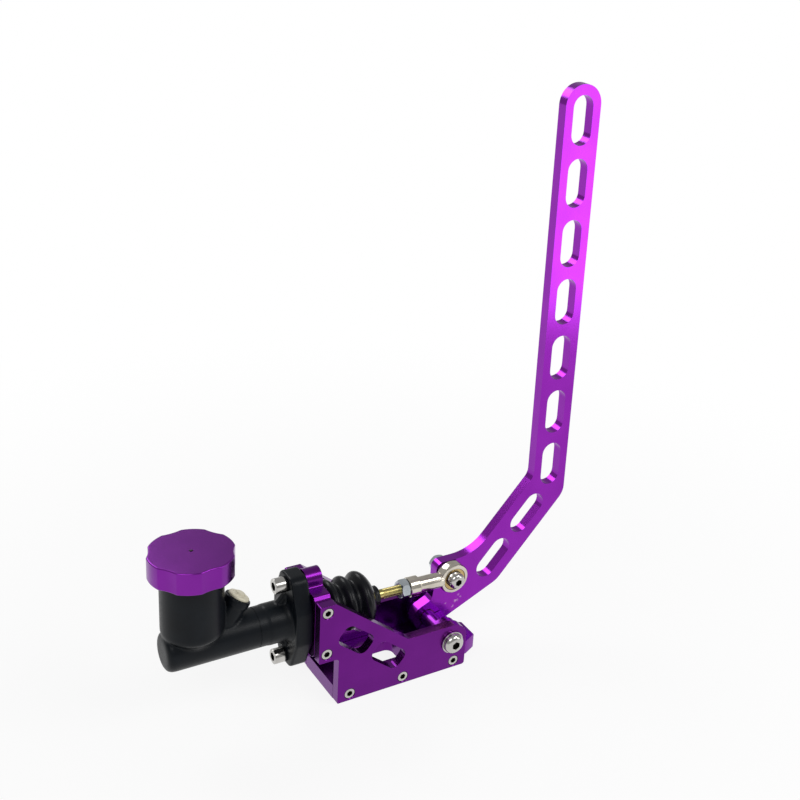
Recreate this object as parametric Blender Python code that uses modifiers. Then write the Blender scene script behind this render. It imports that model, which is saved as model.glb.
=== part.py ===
"""Vertical hydraulic hand brake with its own master cylinder.

Metres, +Z up. The origin is the centre of the base plate's underside. The cylinder lies
towards -X, the hinge towards +X, and the near side plate is at -Y.
"""
import math

import bmesh
import bpy
from mathutils import Matrix, Vector

# Clearances
GAP = 0.0003
FIT = 0.0003
CHORD = 0.0006
OFF_SEAM = math.radians(3.1)

# Base plate and bracket
BASE_L = 0.114
BASE_W = 0.0464
BASE_T = 0.012
PLATE_T = 0.008
PLATE_TOP_Z = 0.091
REAR_TOP_Z = 0.0402
REAR_CORNER_R = 0.013
STEP_REACH = 0.0165
STEP_Z = 0.0415
V_FOOT_INSET = 0.0536
WINDOW_L = 0.0300
WINDOW_W = 0.0173
WINDOW_R = 0.006
WINDOW_PITCH = 0.0368
WINDOW_EDGE = 0.0092
WINDOW_START = 0.0369
WINDOW_PAST_FOOT = 0.0075
MOUNT_T = 0.013
MOUNT_HEAD_R = 0.0079
MOUNT_SHELF = 0.0265
MOUNT_SHELF_HALF = 0.0195
MOUNT_CROWN = 0.0002
BASE_HOLE_R = 0.00425
BASE_HOLE_FRONT = 0.019
BASE_HOLE_REAR = 0.035
BASE_HOLE_Y = 0.0135
BASE_OPENING_FRONT = 0.0305
BASE_OPENING_REAR = 0.0445
BASE_OPENING_W = 0.0264
BASE_OPENING_R = 0.006

# Screws of the side plates
SCREW_R = 0.0025
SCREW_HEAD_R = 0.00425
SCREW_HEAD_H = 0.005
SCREW_L = 0.010
SCREW_SINK = 0.0004
BASE_SCREW_INSET = 0.0105
MOUNT_SCREW_HALF = 0.018
MOUNT_SCREW_DROP = 0.0009

# Master cylinder
CYL_Z = 0.0675
BARREL_R = 0.0154
BARREL_L = 0.1072
BARREL_END_R = 0.0065
BARREL_STEP_L = 0.0302
BARREL_STEP = 0.0004
FLANGE_T = 0.0133
FLANGE_R = 0.0195
FLANGE_EAR_R = 0.0075
FLANGE_EAR_HALF = 0.0102
FLANGE_HALF = 0.0212
FLANGE_WAIST = 0.0125
RIB_T = 0.006
BOLT_HALF = 0.031
SPIGOT_R = 0.015
SPIGOT_L = 0.021
BORE_R = 0.0095
BORE_L = 0.0862
FEED_R = 0.004
FEED_DEPTH = 0.008
RES_REACH = 0.0847
RES_R = 0.0226
RES_WALL = 0.0026
RES_FLOOR_Z = 0.0865
NECK_R = 0.0252
NECK_TOP_Z = 0.1395
NECK_H = 0.0122
PORT_REACH = 0.0500
PORT_Z = 0.098
PORT_LEAN = math.radians(32.0)
PORT_R = 0.0101
PORT_BORE_R = 0.005
PORT_DEPTH = 0.011
PORT_SEAT_R = 0.0085
PORT_SEAT_DEPTH = 0.0005

# Reservoir cap and its seal
CAP_RIM = 0.0055
CAP_TOP_Z = 0.1455
CAP_H = 0.0175
CAP_SCALLOPS = 6
CAP_SCALLOP_DEPTH = 0.0017
CAP_SCALLOP_HALF = math.radians(14.0)
CAP_VENT_R = 0.001
SEAL_T = 0.0015

# Flange bolts
BOLT_R = 0.004
BOLT_HEAD_R = 0.006
BOLT_HEAD_H = 0.008
LOCK_WASHER_T = 0.001
LOCK_WASHER_R = 0.0060

# Piston, valve and spring
PISTON_REACH = 0.0102
PISTON_CUP_W = 0.004
PISTON_GROOVE_R = 0.0068
SOCKET_R = 0.0046
THIMBLE_L = 0.018
THIMBLE_R = 0.0047
STEM_R = 0.0018
STEM_HEAD_R = 0.0034
SPACER_L = 0.0094
WIRE_R = 0.0007
SPRING_TURNS = 9
CIRCLIP_T = 0.0012
STOP_T = 0.0013
STOP_HOLE_R = 0.0053

# Push rod and rod end
ROD_R = 0.004
ROD_SEAT_DEPTH = 0.0108
BALL_REACH = 0.0163
BALL_Z = 0.0638
BALL_R = 0.008
BALL_W = 0.0125
END_HEAD_R = 0.013
END_HEAD_W = 0.0095
END_SHANK_R = 0.0065
END_COLLAR_R = 0.0083
END_COLLAR_L = 0.009
END_LENGTH = 0.042
LINER_T = 0.0013
NUT_AF = 0.014
NUT_T = 0.0075
END_BOLT_R = 0.004
END_HEAD_BOLT_R = 0.007
END_HEAD_BOLT_H = 0.0044
END_SPACER_T = 0.001
END_NUT_AF = 0.013
END_NUT_T = 0.0065
WASHER_T = 0.0016

# Boot
BOOT_WALL = 0.0014
BOOT_PEAK_R = 0.0215
BOOT_VALLEY_R = 0.0168
BOOT_FOLDS = 3
BOOT_NUT_CLEAR = 0.0197
BOOT_BEAD_L = 0.003
BOOT_NECK_L = 0.0035
BOOT_CONE_L = 0.0125
BOOT_GROWTH = 0.0014
BOOT_ROD_FIT = 0.0005
BOOT_NECK_WALL = 0.0036

# Hinge
HINGE_INSET = 0.0135
HINGE_Z = 0.0254
HINGE_R = 0.005
HINGE_HEAD_R = 0.0085
HINGE_HEAD_H = 0.0049
HINGE_WASHER_R = 0.0095
HINGE_NUT_AF = 0.017
HINGE_NUT_T = 0.0095
BUSH_T = 0.0014
HUB_R = 0.013
HUB_PLATE_T = 0.0082
SLEEVE_R = 0.0064
HUB_FOOT_FROM = math.radians(230)
HUB_FOOT_TO = math.radians(372)
HUB_SCREW_ANGLES = (math.radians(254.7), math.radians(334.7))
HUB_SCREW_R = 0.00175
HUB_SCREW_ORBIT = 0.0098
HUB_SCREW_L = 0.014
HEEL_REACH = 0.0175
HEEL_TOP_Z = 0.0144
HEEL_LOW_Z = 0.0016
HEEL_TAPER = 0.0055
HEEL_TAPER_L = 0.0105

# Lever
LEVER_T = 0.009
GRIP_W = 0.0326
GRIP_LEAN = math.radians(0.98)
GRIP_TOP_Z = 0.4585
BEND_REACH = 0.112
BEND_Z = 0.124
BENT_W = 0.039
BENT_ANGLE = math.radians(49.0)
FOOT_R = 0.0125
FOOT_ANGLE = math.radians(24.7)
LUG_R = 0.0102
SLOT_L = 0.0382
SLOT_W = 0.0182
SLOT_PITCH = 0.048
SLOT_FIRST_Z = 0.1435
SLOT_TOP_EDGE = 0.0270
BENT_SLOT_FIRST = 0.0305
BENT_SLOT_PITCH = 0.0468
LEVER_CHAMFER = 0.0005

# Dependent places
PLATE_IN_Y = BASE_W / 2 + GAP
PLATE_OUT_Y = PLATE_IN_Y + PLATE_T
BASE_HOLE_X = (-BASE_L / 2 + BASE_HOLE_FRONT, BASE_L / 2 - BASE_HOLE_REAR)
BASE_OPENING_L = BASE_L - BASE_OPENING_FRONT - BASE_OPENING_REAR
BASE_OPENING_X = (BASE_OPENING_FRONT - BASE_OPENING_REAR) / 2
BASE_SCREW_PITCH = BASE_L / 2 - BASE_SCREW_INSET
PLATE_FRONT_X = -BASE_L / 2 - STEP_REACH
V_FOOT_X = BASE_L / 2 - V_FOOT_INSET
MOUNT_REAR_X = PLATE_FRONT_X + MOUNT_T
MOUNT_MID_X = PLATE_FRONT_X + MOUNT_T / 2
SLOPE_L = math.hypot(V_FOOT_X - MOUNT_REAR_X, PLATE_TOP_Z - REAR_TOP_Z)
WINDOW_ROOM = SLOPE_L + WINDOW_PAST_FOOT - WINDOW_START - WINDOW_L / 2
WINDOWS = int(WINDOW_ROOM / WINDOW_PITCH) + 1
FLANGE_REAR_X = PLATE_FRONT_X - GAP
FLANGE_FRONT_X = FLANGE_REAR_X - FLANGE_T
SPIGOT_END_X = FLANGE_REAR_X + SPIGOT_L
BARREL_END_X = FLANGE_REAR_X - BARREL_L
BARREL_STEP_X = FLANGE_REAR_X - BARREL_STEP_L
BORE_END_X = FLANGE_REAR_X - BORE_L
RES_X = FLANGE_REAR_X - RES_REACH
PORT_X = FLANGE_REAR_X - PORT_REACH
CAP_R = NECK_R + CAP_RIM
PISTON_FRONT_X = FLANGE_REAR_X - PISTON_REACH
ROD_SEAT_X = FLANGE_REAR_X + ROD_SEAT_DEPTH
HINGE_X = BASE_L / 2 - HINGE_INSET
HEEL_X = BASE_L / 2 + HEEL_REACH
BALL_X = HINGE_X + BALL_REACH
BEND_X = HINGE_X + BEND_REACH
BOOT_ROOM = BALL_X - END_LENGTH - GAP - NUT_T - BOOT_NUT_CLEAR - (MOUNT_REAR_X + GAP)
BOOT_FOLD = (BOOT_ROOM - BOOT_BEAD_L - BOOT_CONE_L - BOOT_NECK_L) / (BOOT_FOLDS - 0.5)
GRIP_SLOTS = int((GRIP_TOP_Z - SLOT_TOP_EDGE - SLOT_FIRST_Z) / SLOT_PITCH + 0.01) + 1
LEVER_NEAR_Y = BALL_W / 2 + GAP + END_SPACER_T + GAP
LEVER_MID_Y = LEVER_NEAR_Y + LEVER_T / 2
LEVER_FAR_Y = LEVER_NEAR_Y + LEVER_T
PORT_AXIS = Vector((math.sin(PORT_LEAN), 0.0, math.cos(PORT_LEAN)))
ROD_DROP = math.atan2(CYL_Z - BALL_Z, BALL_X - ROD_SEAT_X)
ROD_SPAN = math.hypot(BALL_X - ROD_SEAT_X, CYL_Z - BALL_Z)
BOLT_HEADS = {"+X": (0.0, math.pi / 2, 0.0), "-X": (0.0, -math.pi / 2, 0.0),
              "+Y": (-math.pi / 2, 0.0, 0.0), "-Y": (math.pi / 2, 0.0, 0.0),
              "+Z": (0.0, 0.0, 0.0)}
ACROSS_Y = (math.pi / 2, 0.0, 0.0)
ACROSS_X = (math.pi / 2, 0.0, math.pi / 2)

for old in list(bpy.data.objects):
    bpy.data.objects.remove(old, do_unlink=True)

PARTS = bpy.data.collections.new("hydraulic_hand_brake")
CUTTERS = bpy.data.collections.new("cutters")
bpy.context.scene.collection.children.link(PARTS)
bpy.context.scene.collection.children.link(CUTTERS)


def finish(name, colour, roughness, metallic):
    mat = bpy.data.materials.new(name)
    mat.use_nodes = True
    shader = mat.node_tree.nodes["Principled BSDF"]
    shader.inputs["Base Color"].default_value = (*colour, 1.0)
    shader.inputs["Roughness"].default_value = roughness
    shader.inputs["Metallic"].default_value = metallic
    mat.diffuse_color = (*colour, 1.0)
    return mat


PURPLE = ((0.16, 0.012, 0.30), 0.3, 0.9)
CASTING = ((0.012, 0.014, 0.017), 0.45, 0.3)
STEEL = ((0.62, 0.60, 0.56), 0.2, 1.0)
ZINC = ((0.55, 0.60, 0.66), 0.3, 1.0)
YELLOW_ZINC = ((0.58, 0.47, 0.16), 0.35, 1.0)
NICKEL = ((0.66, 0.60, 0.50), 0.22, 1.0)
BRASS = ((0.62, 0.46, 0.22), 0.3, 1.0)
RUBBER = ((0.01, 0.01, 0.011), 0.7, 0.0)
CREAM = ((0.62, 0.58, 0.44), 0.5, 0.0)
ALLOY = ((0.60, 0.60, 0.61), 0.35, 1.0)


def dress(obj, look):
    obj.data.materials.clear()
    obj.data.materials.append(finish(obj.name, *look))
    return obj


def place(obj, collection, location=(0, 0, 0), rotation=(0, 0, 0)):
    collection.objects.link(obj)
    obj.location = location
    obj.rotation_euler = rotation
    if collection is CUTTERS:
        obj.hide_render = True
        obj.display_type = "WIRE"
    return obj


def turned(name, profile, location, rotation, look=None, steps=32, ring=False, start=0.0):
    """Turn (radius, height) points about local Z; they run down the outer side."""
    mesh = bpy.data.meshes.new(name)
    bm = bmesh.new()
    verts = [bm.verts.new((r * math.cos(start), r * math.sin(start), h)) for r, h in profile]
    for a, b in zip(verts, verts[1:]):
        bm.edges.new((a, b))
    if ring:
        bm.edges.new((verts[-1], verts[0]))
    bm.to_mesh(mesh)
    bm.free()
    obj = place(bpy.data.objects.new(name, mesh), PARTS if look else CUTTERS, location, rotation)
    mod = obj.modifiers.new("turn", "SCREW")
    mod.axis = "Z"
    mod.angle = math.tau
    mod.steps = steps
    mod.render_steps = steps
    mod.use_merge_vertices = True
    mod.merge_threshold = 0.000001
    if not ring:
        caps = obj.modifiers.new("flat_ends", "DECIMATE")
        caps.decimate_type = "DISSOLVE"
        caps.angle_limit = math.radians(0.5)
    if look:
        dress(obj, look)
    return obj


def rod_profile(radius, low, high):
    return [(0.0, high), (radius, high), (radius, low), (0.0, low)]


def tube_profile(outer, inner, low, high):
    return [(outer, high), (outer, low), (inner, low), (inner, high)]


def circle(cx, cy, radius, count=32):
    return [(cx + radius * math.cos(math.tau * k / count),
             cy + radius * math.sin(math.tau * k / count)) for k in range(count)]


def slot(cx, cy, length, width, angle, count=8):
    """Round-ended slot whose length lies along the angle."""
    pts = []
    reach = (length - width) / 2
    for side in (0, 1):
        for k in range(count):
            a = angle + math.pi * side - math.pi / 2 + math.pi * k / (count - 1)
            shift = reach if side == 0 else -reach
            pts.append((cx + shift * math.cos(angle) + width / 2 * math.cos(a),
                        cy + shift * math.sin(angle) + width / 2 * math.sin(a)))
    return pts


def rounded(corners, turn_step=math.radians(18)):
    """Round each (x, y, radius) corner of a closed outline."""
    pts = []
    count = len(corners)
    for i, (x, y, radius) in enumerate(corners):
        here = Vector((x, y))
        back = Vector(corners[i - 1][:2]) - here
        ahead = Vector(corners[(i + 1) % count][:2]) - here
        turn = math.pi - back.angle(ahead)
        reach = radius * math.tan(turn / 2)
        limit = 0.49 * min(back.length, ahead.length)
        if reach > limit:
            radius *= limit / reach
            reach = limit
        if radius < 0.00005 or turn < 0.01:
            pts.append((x, y))
            continue
        start = here + back.normalized() * reach
        centre = here + (back.normalized() + ahead.normalized()).normalized() * math.hypot(reach, radius)
        arm = start - centre
        side = 1.0 if back.x * ahead.y - back.y * ahead.x < 0 else -1.0
        pieces = max(1, min(math.ceil(turn / turn_step), int(radius * turn / CHORD)))
        for k in range(pieces + 1):
            a = side * turn * k / pieces
            pts.append((centre.x + arm.x * math.cos(a) - arm.y * math.sin(a),
                        centre.y + arm.x * math.sin(a) + arm.y * math.cos(a)))
    return pts


def flat(name, outline, holes, thickness, location, rotation, look=None, bevel=0.0, rounds=1):
    """Flat outline with holes, made as a filled curve and kept as a mesh."""
    curve = bpy.data.curves.new(name, "CURVE")
    curve.dimensions = "2D"
    curve.fill_mode = "BOTH"
    curve.extrude = thickness / 2
    for loop in [outline] + list(holes):
        spline = curve.splines.new("POLY")
        spline.points.add(len(loop) - 1)
        for point, (x, y) in zip(spline.points, loop):
            point.co = (x, y, 0.0, 1.0)
        spline.use_cyclic_u = True
    drawn = bpy.data.objects.new(name + "_outline", curve)
    PARTS.objects.link(drawn)
    drawn.location = location
    drawn.rotation_euler = rotation
    bpy.context.view_layer.update()
    graph = bpy.context.evaluated_depsgraph_get()
    mesh = bpy.data.meshes.new_from_object(drawn.evaluated_get(graph))
    bm = bmesh.new()
    bm.from_mesh(mesh)
    bmesh.ops.remove_doubles(bm, verts=bm.verts, dist=0.000001)
    bmesh.ops.recalc_face_normals(bm, faces=bm.faces)
    bmesh.ops.dissolve_limit(bm, angle_limit=math.radians(0.5), verts=bm.verts, edges=bm.edges)
    bm.to_mesh(mesh)
    bm.free()
    mesh.name = name
    obj = bpy.data.objects.new(name, mesh)
    (PARTS if look else CUTTERS).objects.link(obj)
    obj.matrix_world = drawn.matrix_world.copy()
    bpy.data.objects.remove(drawn, do_unlink=True)
    if look:
        dress(obj, look)
    else:
        obj.hide_render = True
        obj.display_type = "WIRE"
    if bevel:
        mod = obj.modifiers.new("edge", "BEVEL")
        mod.width = bevel
        mod.segments = rounds
        mod.limit_method = "ANGLE"
        mod.angle_limit = math.radians(50)
    return obj


def box(name, low, high, look=None, bevel=0.0):
    mesh = bpy.data.meshes.new(name)
    bm = bmesh.new()
    bmesh.ops.create_cube(bm, size=1.0)
    size = [b - a for a, b in zip(low, high)]
    bmesh.ops.scale(bm, vec=size, verts=bm.verts)
    bm.to_mesh(mesh)
    bm.free()
    middle = [(a + b) / 2 for a, b in zip(low, high)]
    obj = place(bpy.data.objects.new(name, mesh), PARTS if look else CUTTERS, middle)
    if look:
        dress(obj, look)
    if bevel:
        mod = obj.modifiers.new("edge", "BEVEL")
        mod.width = bevel
        mod.segments = 1
        mod.limit_method = "ANGLE"
        mod.angle_limit = math.radians(50)
    return obj


def combine(obj, tool, operation="DIFFERENCE"):
    mod = obj.modifiers.new(operation.lower(), "BOOLEAN")
    mod.operation = operation
    mod.solver = "EXACT"
    mod.object = tool
    return obj


def prism_outline(across_flats, sides=6, start=0.0):
    reach = across_flats / 2 / math.cos(math.pi / sides)
    return [(reach * math.cos(start + math.tau * k / sides),
             reach * math.sin(start + math.tau * k / sides)) for k in range(sides)]


def bake(obj):
    """Keep the evaluated shape as a plain mesh, so that copies can share it."""
    bpy.context.view_layer.update()
    graph = bpy.context.evaluated_depsgraph_get()
    mesh = bpy.data.meshes.new_from_object(obj.evaluated_get(graph))
    obj.modifiers.clear()
    obj.data = mesh
    return obj


def socket_screw(name, head_profile, shank_r, length, socket_af, socket_depth, head_h,
                 location, rotation, look, steps=20):
    """Screw whose head stands on local +Z and whose shank runs down from z = 0."""
    shank = [(shank_r, 0.0), (shank_r, -length + shank_r * 0.3),
             (shank_r * 0.7, -length), (0.0, -length)]
    obj = turned(name, head_profile + shank, location, rotation, look, steps)
    tool = flat(name + "_socket", prism_outline(socket_af), [], 2 * socket_depth,
                (0, 0, 0), (0, 0, 0))
    bpy.context.view_layer.update()
    tool.matrix_world = obj.matrix_world @ Matrix.Translation((0, 0, head_h))
    combine(obj, tool)
    bake(obj)
    bpy.data.objects.remove(tool, do_unlink=True)
    return obj


def cap_head(radius, height):
    edge = radius * 0.1
    return [(0.0, height), (radius - edge, height), (radius, height - edge), (radius, 0.0)]


def button_head(radius, height):
    crown = radius * 0.45
    pts = [(0.0, height), (crown, height)]
    for k in range(1, 5):
        a = math.pi / 2 * k / 4
        pts.append((crown + (radius - crown) * math.sin(a),
                    height * (0.12 + 0.88 * math.cos(a))))
    pts.append((radius, 0.0))
    return pts


def twin(obj, name, location, rotation):
    copy = bpy.data.objects.new(name, obj.data.copy())
    place(copy, PARTS, location, rotation)
    copy.data.name = name
    return copy


def empty(name, location, rotation=(0, 0, 0)):
    axis = bpy.data.objects.new(name, None)
    axis.empty_display_size = 0.02
    return place(axis, PARTS, location, rotation)


def ride(children, parent):
    bpy.context.view_layer.update()
    for obj in children:
        world = obj.matrix_world.copy()
        obj.parent = parent
        obj.matrix_parent_inverse = parent.matrix_world.inverted()
        obj.matrix_world = world


# Bracket
SCREW_HOLE_R = SCREW_R + FIT
MOUNT_SCREW_MID_Z = CYL_Z - MOUNT_SCREW_DROP
MOUNT_SCREW_Z = (MOUNT_SCREW_MID_Z + MOUNT_SCREW_HALF, MOUNT_SCREW_MID_Z - MOUNT_SCREW_HALF)
SCREW_PLACES = [(k * BASE_SCREW_PITCH, BASE_T / 2) for k in (-1, 0, 1)]
SCREW_PLACES += [(MOUNT_MID_X, z) for z in MOUNT_SCREW_Z]
SLOPE = math.atan2(PLATE_TOP_Z - REAR_TOP_Z, V_FOOT_X - MOUNT_REAR_X)
SLOPE_DIR = Vector((math.cos(SLOPE), -math.sin(SLOPE)))
SLOPE_IN = Vector((-math.sin(SLOPE), -math.cos(SLOPE)))


def side_plate(name, side):
    rear_x = BASE_L / 2
    outline = rounded([(PLATE_FRONT_X, PLATE_TOP_Z, 0.0012), (MOUNT_REAR_X, PLATE_TOP_Z, 0.0012),
                       (V_FOOT_X, REAR_TOP_Z, 0.003), (rear_x, REAR_TOP_Z, REAR_CORNER_R),
                       (rear_x, 0.0, 0.0022), (-rear_x, 0.0, 0.0008),
                       (-rear_x, STEP_Z, 0.003), (PLATE_FRONT_X, STEP_Z, 0.0015)])
    holes = []
    for k in range(WINDOWS):
        along = SLOPE_DIR * (WINDOW_START + WINDOW_PITCH * k)
        spot = Vector((MOUNT_REAR_X, PLATE_TOP_Z)) + along + SLOPE_IN * (WINDOW_EDGE + WINDOW_W / 2)
        window = []
        for sx, sz in ((-1, 1), (1, 1), (1, -1), (-1, -1)):
            corner = spot + SLOPE_DIR * (sx * WINDOW_L / 2) - SLOPE_IN * (sz * WINDOW_W / 2)
            window.append((corner.x, corner.y, WINDOW_R))
        holes.append(rounded(window))
    holes.append(circle(HINGE_X, HINGE_Z, HINGE_R + FIT, 28))
    mid_y = side * (PLATE_IN_Y + PLATE_T / 2)
    obj = flat(name, outline, holes, PLATE_T, (0, mid_y, 0), ACROSS_Y, PURPLE, bevel=0.0004)
    head_r = SCREW_HEAD_R + FIT
    sink = SCREW_HEAD_H + SCREW_SINK
    direction = BOLT_HEADS["+Y" if side > 0 else "-Y"]
    for k, (x, z) in enumerate(SCREW_PLACES):
        cut = turned(f"{name}_cut_{k + 1}",
                     [(0.0, 0.001), (head_r, 0.001), (head_r, -sink), (SCREW_HOLE_R, -sink),
                      (SCREW_HOLE_R, -PLATE_T - 0.001), (0.0, -PLATE_T - 0.001)],
                     (x, side * PLATE_OUT_Y, z), direction, steps=12)
        combine(obj, cut)
    return obj


side_plate("side_plate_near", -1)
side_plate("side_plate_far", 1)

base = box("base_plate", (-BASE_L / 2, -BASE_W / 2, 0.0), (BASE_L / 2, BASE_W / 2, BASE_T),
           PURPLE, bevel=0.0004)
for i, x in enumerate(BASE_HOLE_X):
    for j, side in enumerate((-1, 1)):
        combine(base, turned(f"base_hole_{i}_{j}", rod_profile(BASE_HOLE_R, -0.001, BASE_T + 0.001),
                             (x, side * BASE_HOLE_Y, 0.0), (0, 0, 0), steps=18))
opening_x = BASE_OPENING_L / 2
opening_y = BASE_OPENING_W / 2
combine(base, flat("base_opening", rounded([(-opening_x, -opening_y, BASE_OPENING_R),
                                            (opening_x, -opening_y, BASE_OPENING_R),
                                            (opening_x, opening_y, BASE_OPENING_R),
                                            (-opening_x, opening_y, BASE_OPENING_R)]),
                   [], BASE_T + 0.002, (BASE_OPENING_X, 0, BASE_T / 2), (0, 0, 0)))
SCREW_REACH = SCREW_L - (PLATE_T - SCREW_HEAD_H - SCREW_SINK)
for k, (x, z) in enumerate(SCREW_PLACES[:3]):
    for side in (-1, 1):
        depth = SCREW_REACH + 0.001
        combine(base, turned(f"base_tap_{k}_{side}", rod_profile(SCREW_HOLE_R, -depth, 0.001),
                             (x, side * BASE_W / 2, z), BOLT_HEADS["+Y" if side > 0 else "-Y"],
                             steps=10))


def mount_outline():
    half = BASE_W / 2
    top = []
    shelf = MOUNT_SHELF
    neck = MOUNT_HEAD_R
    shoulder = PLATE_TOP_Z - CYL_Z
    head = BOLT_HALF
    for k in range(9):
        a = math.pi * k / 8
        top.append((neck * math.cos(a), head + neck * math.sin(a), 0.0))
    right = [(half, shoulder, 0.0006),
             (MOUNT_SHELF_HALF + 0.0022, shoulder + MOUNT_CROWN, 0.0012),
             (MOUNT_SHELF_HALF, shelf, 0.0025), (neck, shelf + MOUNT_CROWN, 0.0035)]
    left = [(-x, z, r) for x, z, r in reversed(right)]
    upper = right + top + left
    lower = [(-x, -z, r) for x, z, r in upper]
    return rounded(upper + lower)


mount = flat("mount_plate", mount_outline(),
             [circle(0, 0, SPIGOT_R + FIT, 30),
              circle(0, BOLT_HALF, BOLT_R + FIT, 14), circle(0, -BOLT_HALF, BOLT_R + FIT, 14)],
             MOUNT_T, (MOUNT_MID_X, 0, CYL_Z), ACROSS_X, PURPLE, bevel=0.0004)
for k, z in enumerate(MOUNT_SCREW_Z):
    for side in (-1, 1):
        depth = min(SCREW_REACH + 0.001, BASE_W / 2 - 0.004)
        combine(mount, turned(f"mount_tap_{k}_{side}", rod_profile(SCREW_HOLE_R, -depth, 0.001),
                              (MOUNT_MID_X, side * BASE_W / 2, z),
                              BOLT_HEADS["+Y" if side > 0 else "-Y"], steps=10))

first = None
for side, word in ((-1, "near"), (1, "far")):
    turn = BOLT_HEADS["+Y" if side > 0 else "-Y"]
    seat_y = side * (PLATE_OUT_Y - SCREW_HEAD_H - SCREW_SINK)
    for k, (x, z) in enumerate(SCREW_PLACES):
        name = f"plate_screw_{word}_{k + 1}"
        if first is None:
            first = socket_screw(name, cap_head(SCREW_HEAD_R, SCREW_HEAD_H), SCREW_R, SCREW_L,
                                 0.004, 0.0025, SCREW_HEAD_H, (x, seat_y + side * FIT / 2, z),
                                 turn, STEEL, steps=12)
            continue
        dress(twin(first, name, (x, seat_y + side * FIT / 2, z), turn), STEEL)

# Master cylinder body, in local coordinates with the height along +X
WEST = BOLT_HEADS["+X"]
ON_AXIS = (0, 0, CYL_Z)


def end_round(x, radius, fillet, pieces=3):
    """Rounded outer edge of the closed end, from the side to the end face."""
    return [(radius - fillet + fillet * math.cos(math.pi / 2 * k / pieces),
             x + fillet - fillet * math.sin(math.pi / 2 * k / pieces)) for k in range(pieces + 1)]


barrel_r2 = BARREL_R + BARREL_STEP
body_profile = [(0.0, SPIGOT_END_X), (SPIGOT_R - 0.0006, SPIGOT_END_X),
                (SPIGOT_R, SPIGOT_END_X - 0.0006),
                (SPIGOT_R, MOUNT_REAR_X + GAP + BOOT_BEAD_L + 0.0006),
                (SPIGOT_R - 0.001, MOUNT_REAR_X + GAP + BOOT_BEAD_L + 0.0006),
                (SPIGOT_R - 0.001, MOUNT_REAR_X), (SPIGOT_R, MOUNT_REAR_X),
                (SPIGOT_R, FLANGE_REAR_X), (FLANGE_R - 0.0008, FLANGE_REAR_X),
                (FLANGE_R, FLANGE_REAR_X - 0.0008), (FLANGE_R, FLANGE_FRONT_X + 0.003),
                (FLANGE_R - 0.0012, FLANGE_FRONT_X + 0.0004),
                (barrel_r2 + 0.0008, FLANGE_FRONT_X - 0.0012),
                (barrel_r2, FLANGE_FRONT_X - 0.004), (barrel_r2, BARREL_STEP_X),
                (BARREL_R, BARREL_STEP_X - BARREL_STEP)]
body_profile += end_round(BARREL_END_X, BARREL_R, BARREL_END_R)
body_profile += [(0.0, BARREL_END_X)]
body = turned("cylinder_body", body_profile, ON_AXIS, WEST, CASTING, steps=36)


def flange_outline():
    """Blunt rhombus with a broad rounded ear round each bolt."""
    top = BOLT_HALF + FLANGE_EAR_R
    upper = [(FLANGE_HALF, FLANGE_WAIST, 0.010), (FLANGE_EAR_HALF, top, FLANGE_EAR_R),
             (-FLANGE_EAR_HALF, top, FLANGE_EAR_R), (-FLANGE_HALF, FLANGE_WAIST, 0.010)]
    return rounded(upper + [(-y, -z, r) for y, z, r in upper])


ears = flat("flange_ears", flange_outline(), [], FLANGE_T,
            (FLANGE_REAR_X - FLANGE_T / 2, 0, CYL_Z), ACROSS_X, bevel=0.0008)
combine(body, ears, "UNION")

for side in (1, -1):
    reach = BOLT_HALF - LOCK_WASHER_R - 0.0012
    rib = flat(f"flange_rib_{side}",
               [(FLANGE_REAR_X - 0.003, side * 0.010), (FLANGE_REAR_X - 0.003, side * reach),
                (FLANGE_FRONT_X - 0.0015, side * reach), (FLANGE_FRONT_X - 0.0095, side * 0.0135),
                (FLANGE_FRONT_X - 0.0095, side * 0.010)],
               [], RIB_T, (0, 0, CYL_Z), ACROSS_Y)
    combine(body, rib, "UNION")

neck_low = NECK_TOP_Z - NECK_H
cup_profile = [(0.0, NECK_TOP_Z), (NECK_R - 0.0005, NECK_TOP_Z), (NECK_R, NECK_TOP_Z - 0.0005),
               (NECK_R, neck_low), (RES_R, neck_low - 0.0022), (RES_R, CYL_Z + BARREL_R + 0.003),
               (RES_R - 0.0012, CYL_Z + BARREL_R + 0.0008),
               (RES_R - 0.0045, CYL_Z + BARREL_R - 0.001), (BARREL_R, CYL_Z + 0.009),
               (BARREL_R - 0.003, CYL_Z + 0.002), (0.0, CYL_Z + 0.002)]
cup = turned("reservoir_cup", cup_profile, (RES_X, 0, 0), (0, 0, 0), steps=36)
combine(body, cup, "UNION")

PORT_LENGTH = (PORT_Z - CYL_Z) / math.cos(PORT_LEAN)
boss = turned("port_boss", [(0.0, 0.0), (PORT_R - 0.0003, 0.0), (PORT_R, -0.0003),
                            (PORT_R, -0.0055), (PORT_R - 0.0009, -0.0062),
                            (PORT_R - 0.0009, -PORT_LENGTH + 0.004), (0.0, -PORT_LENGTH + 0.004)],
              (PORT_X, 0, PORT_Z), (0, PORT_LEAN, 0), steps=24)
combine(body, boss, "UNION")

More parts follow.
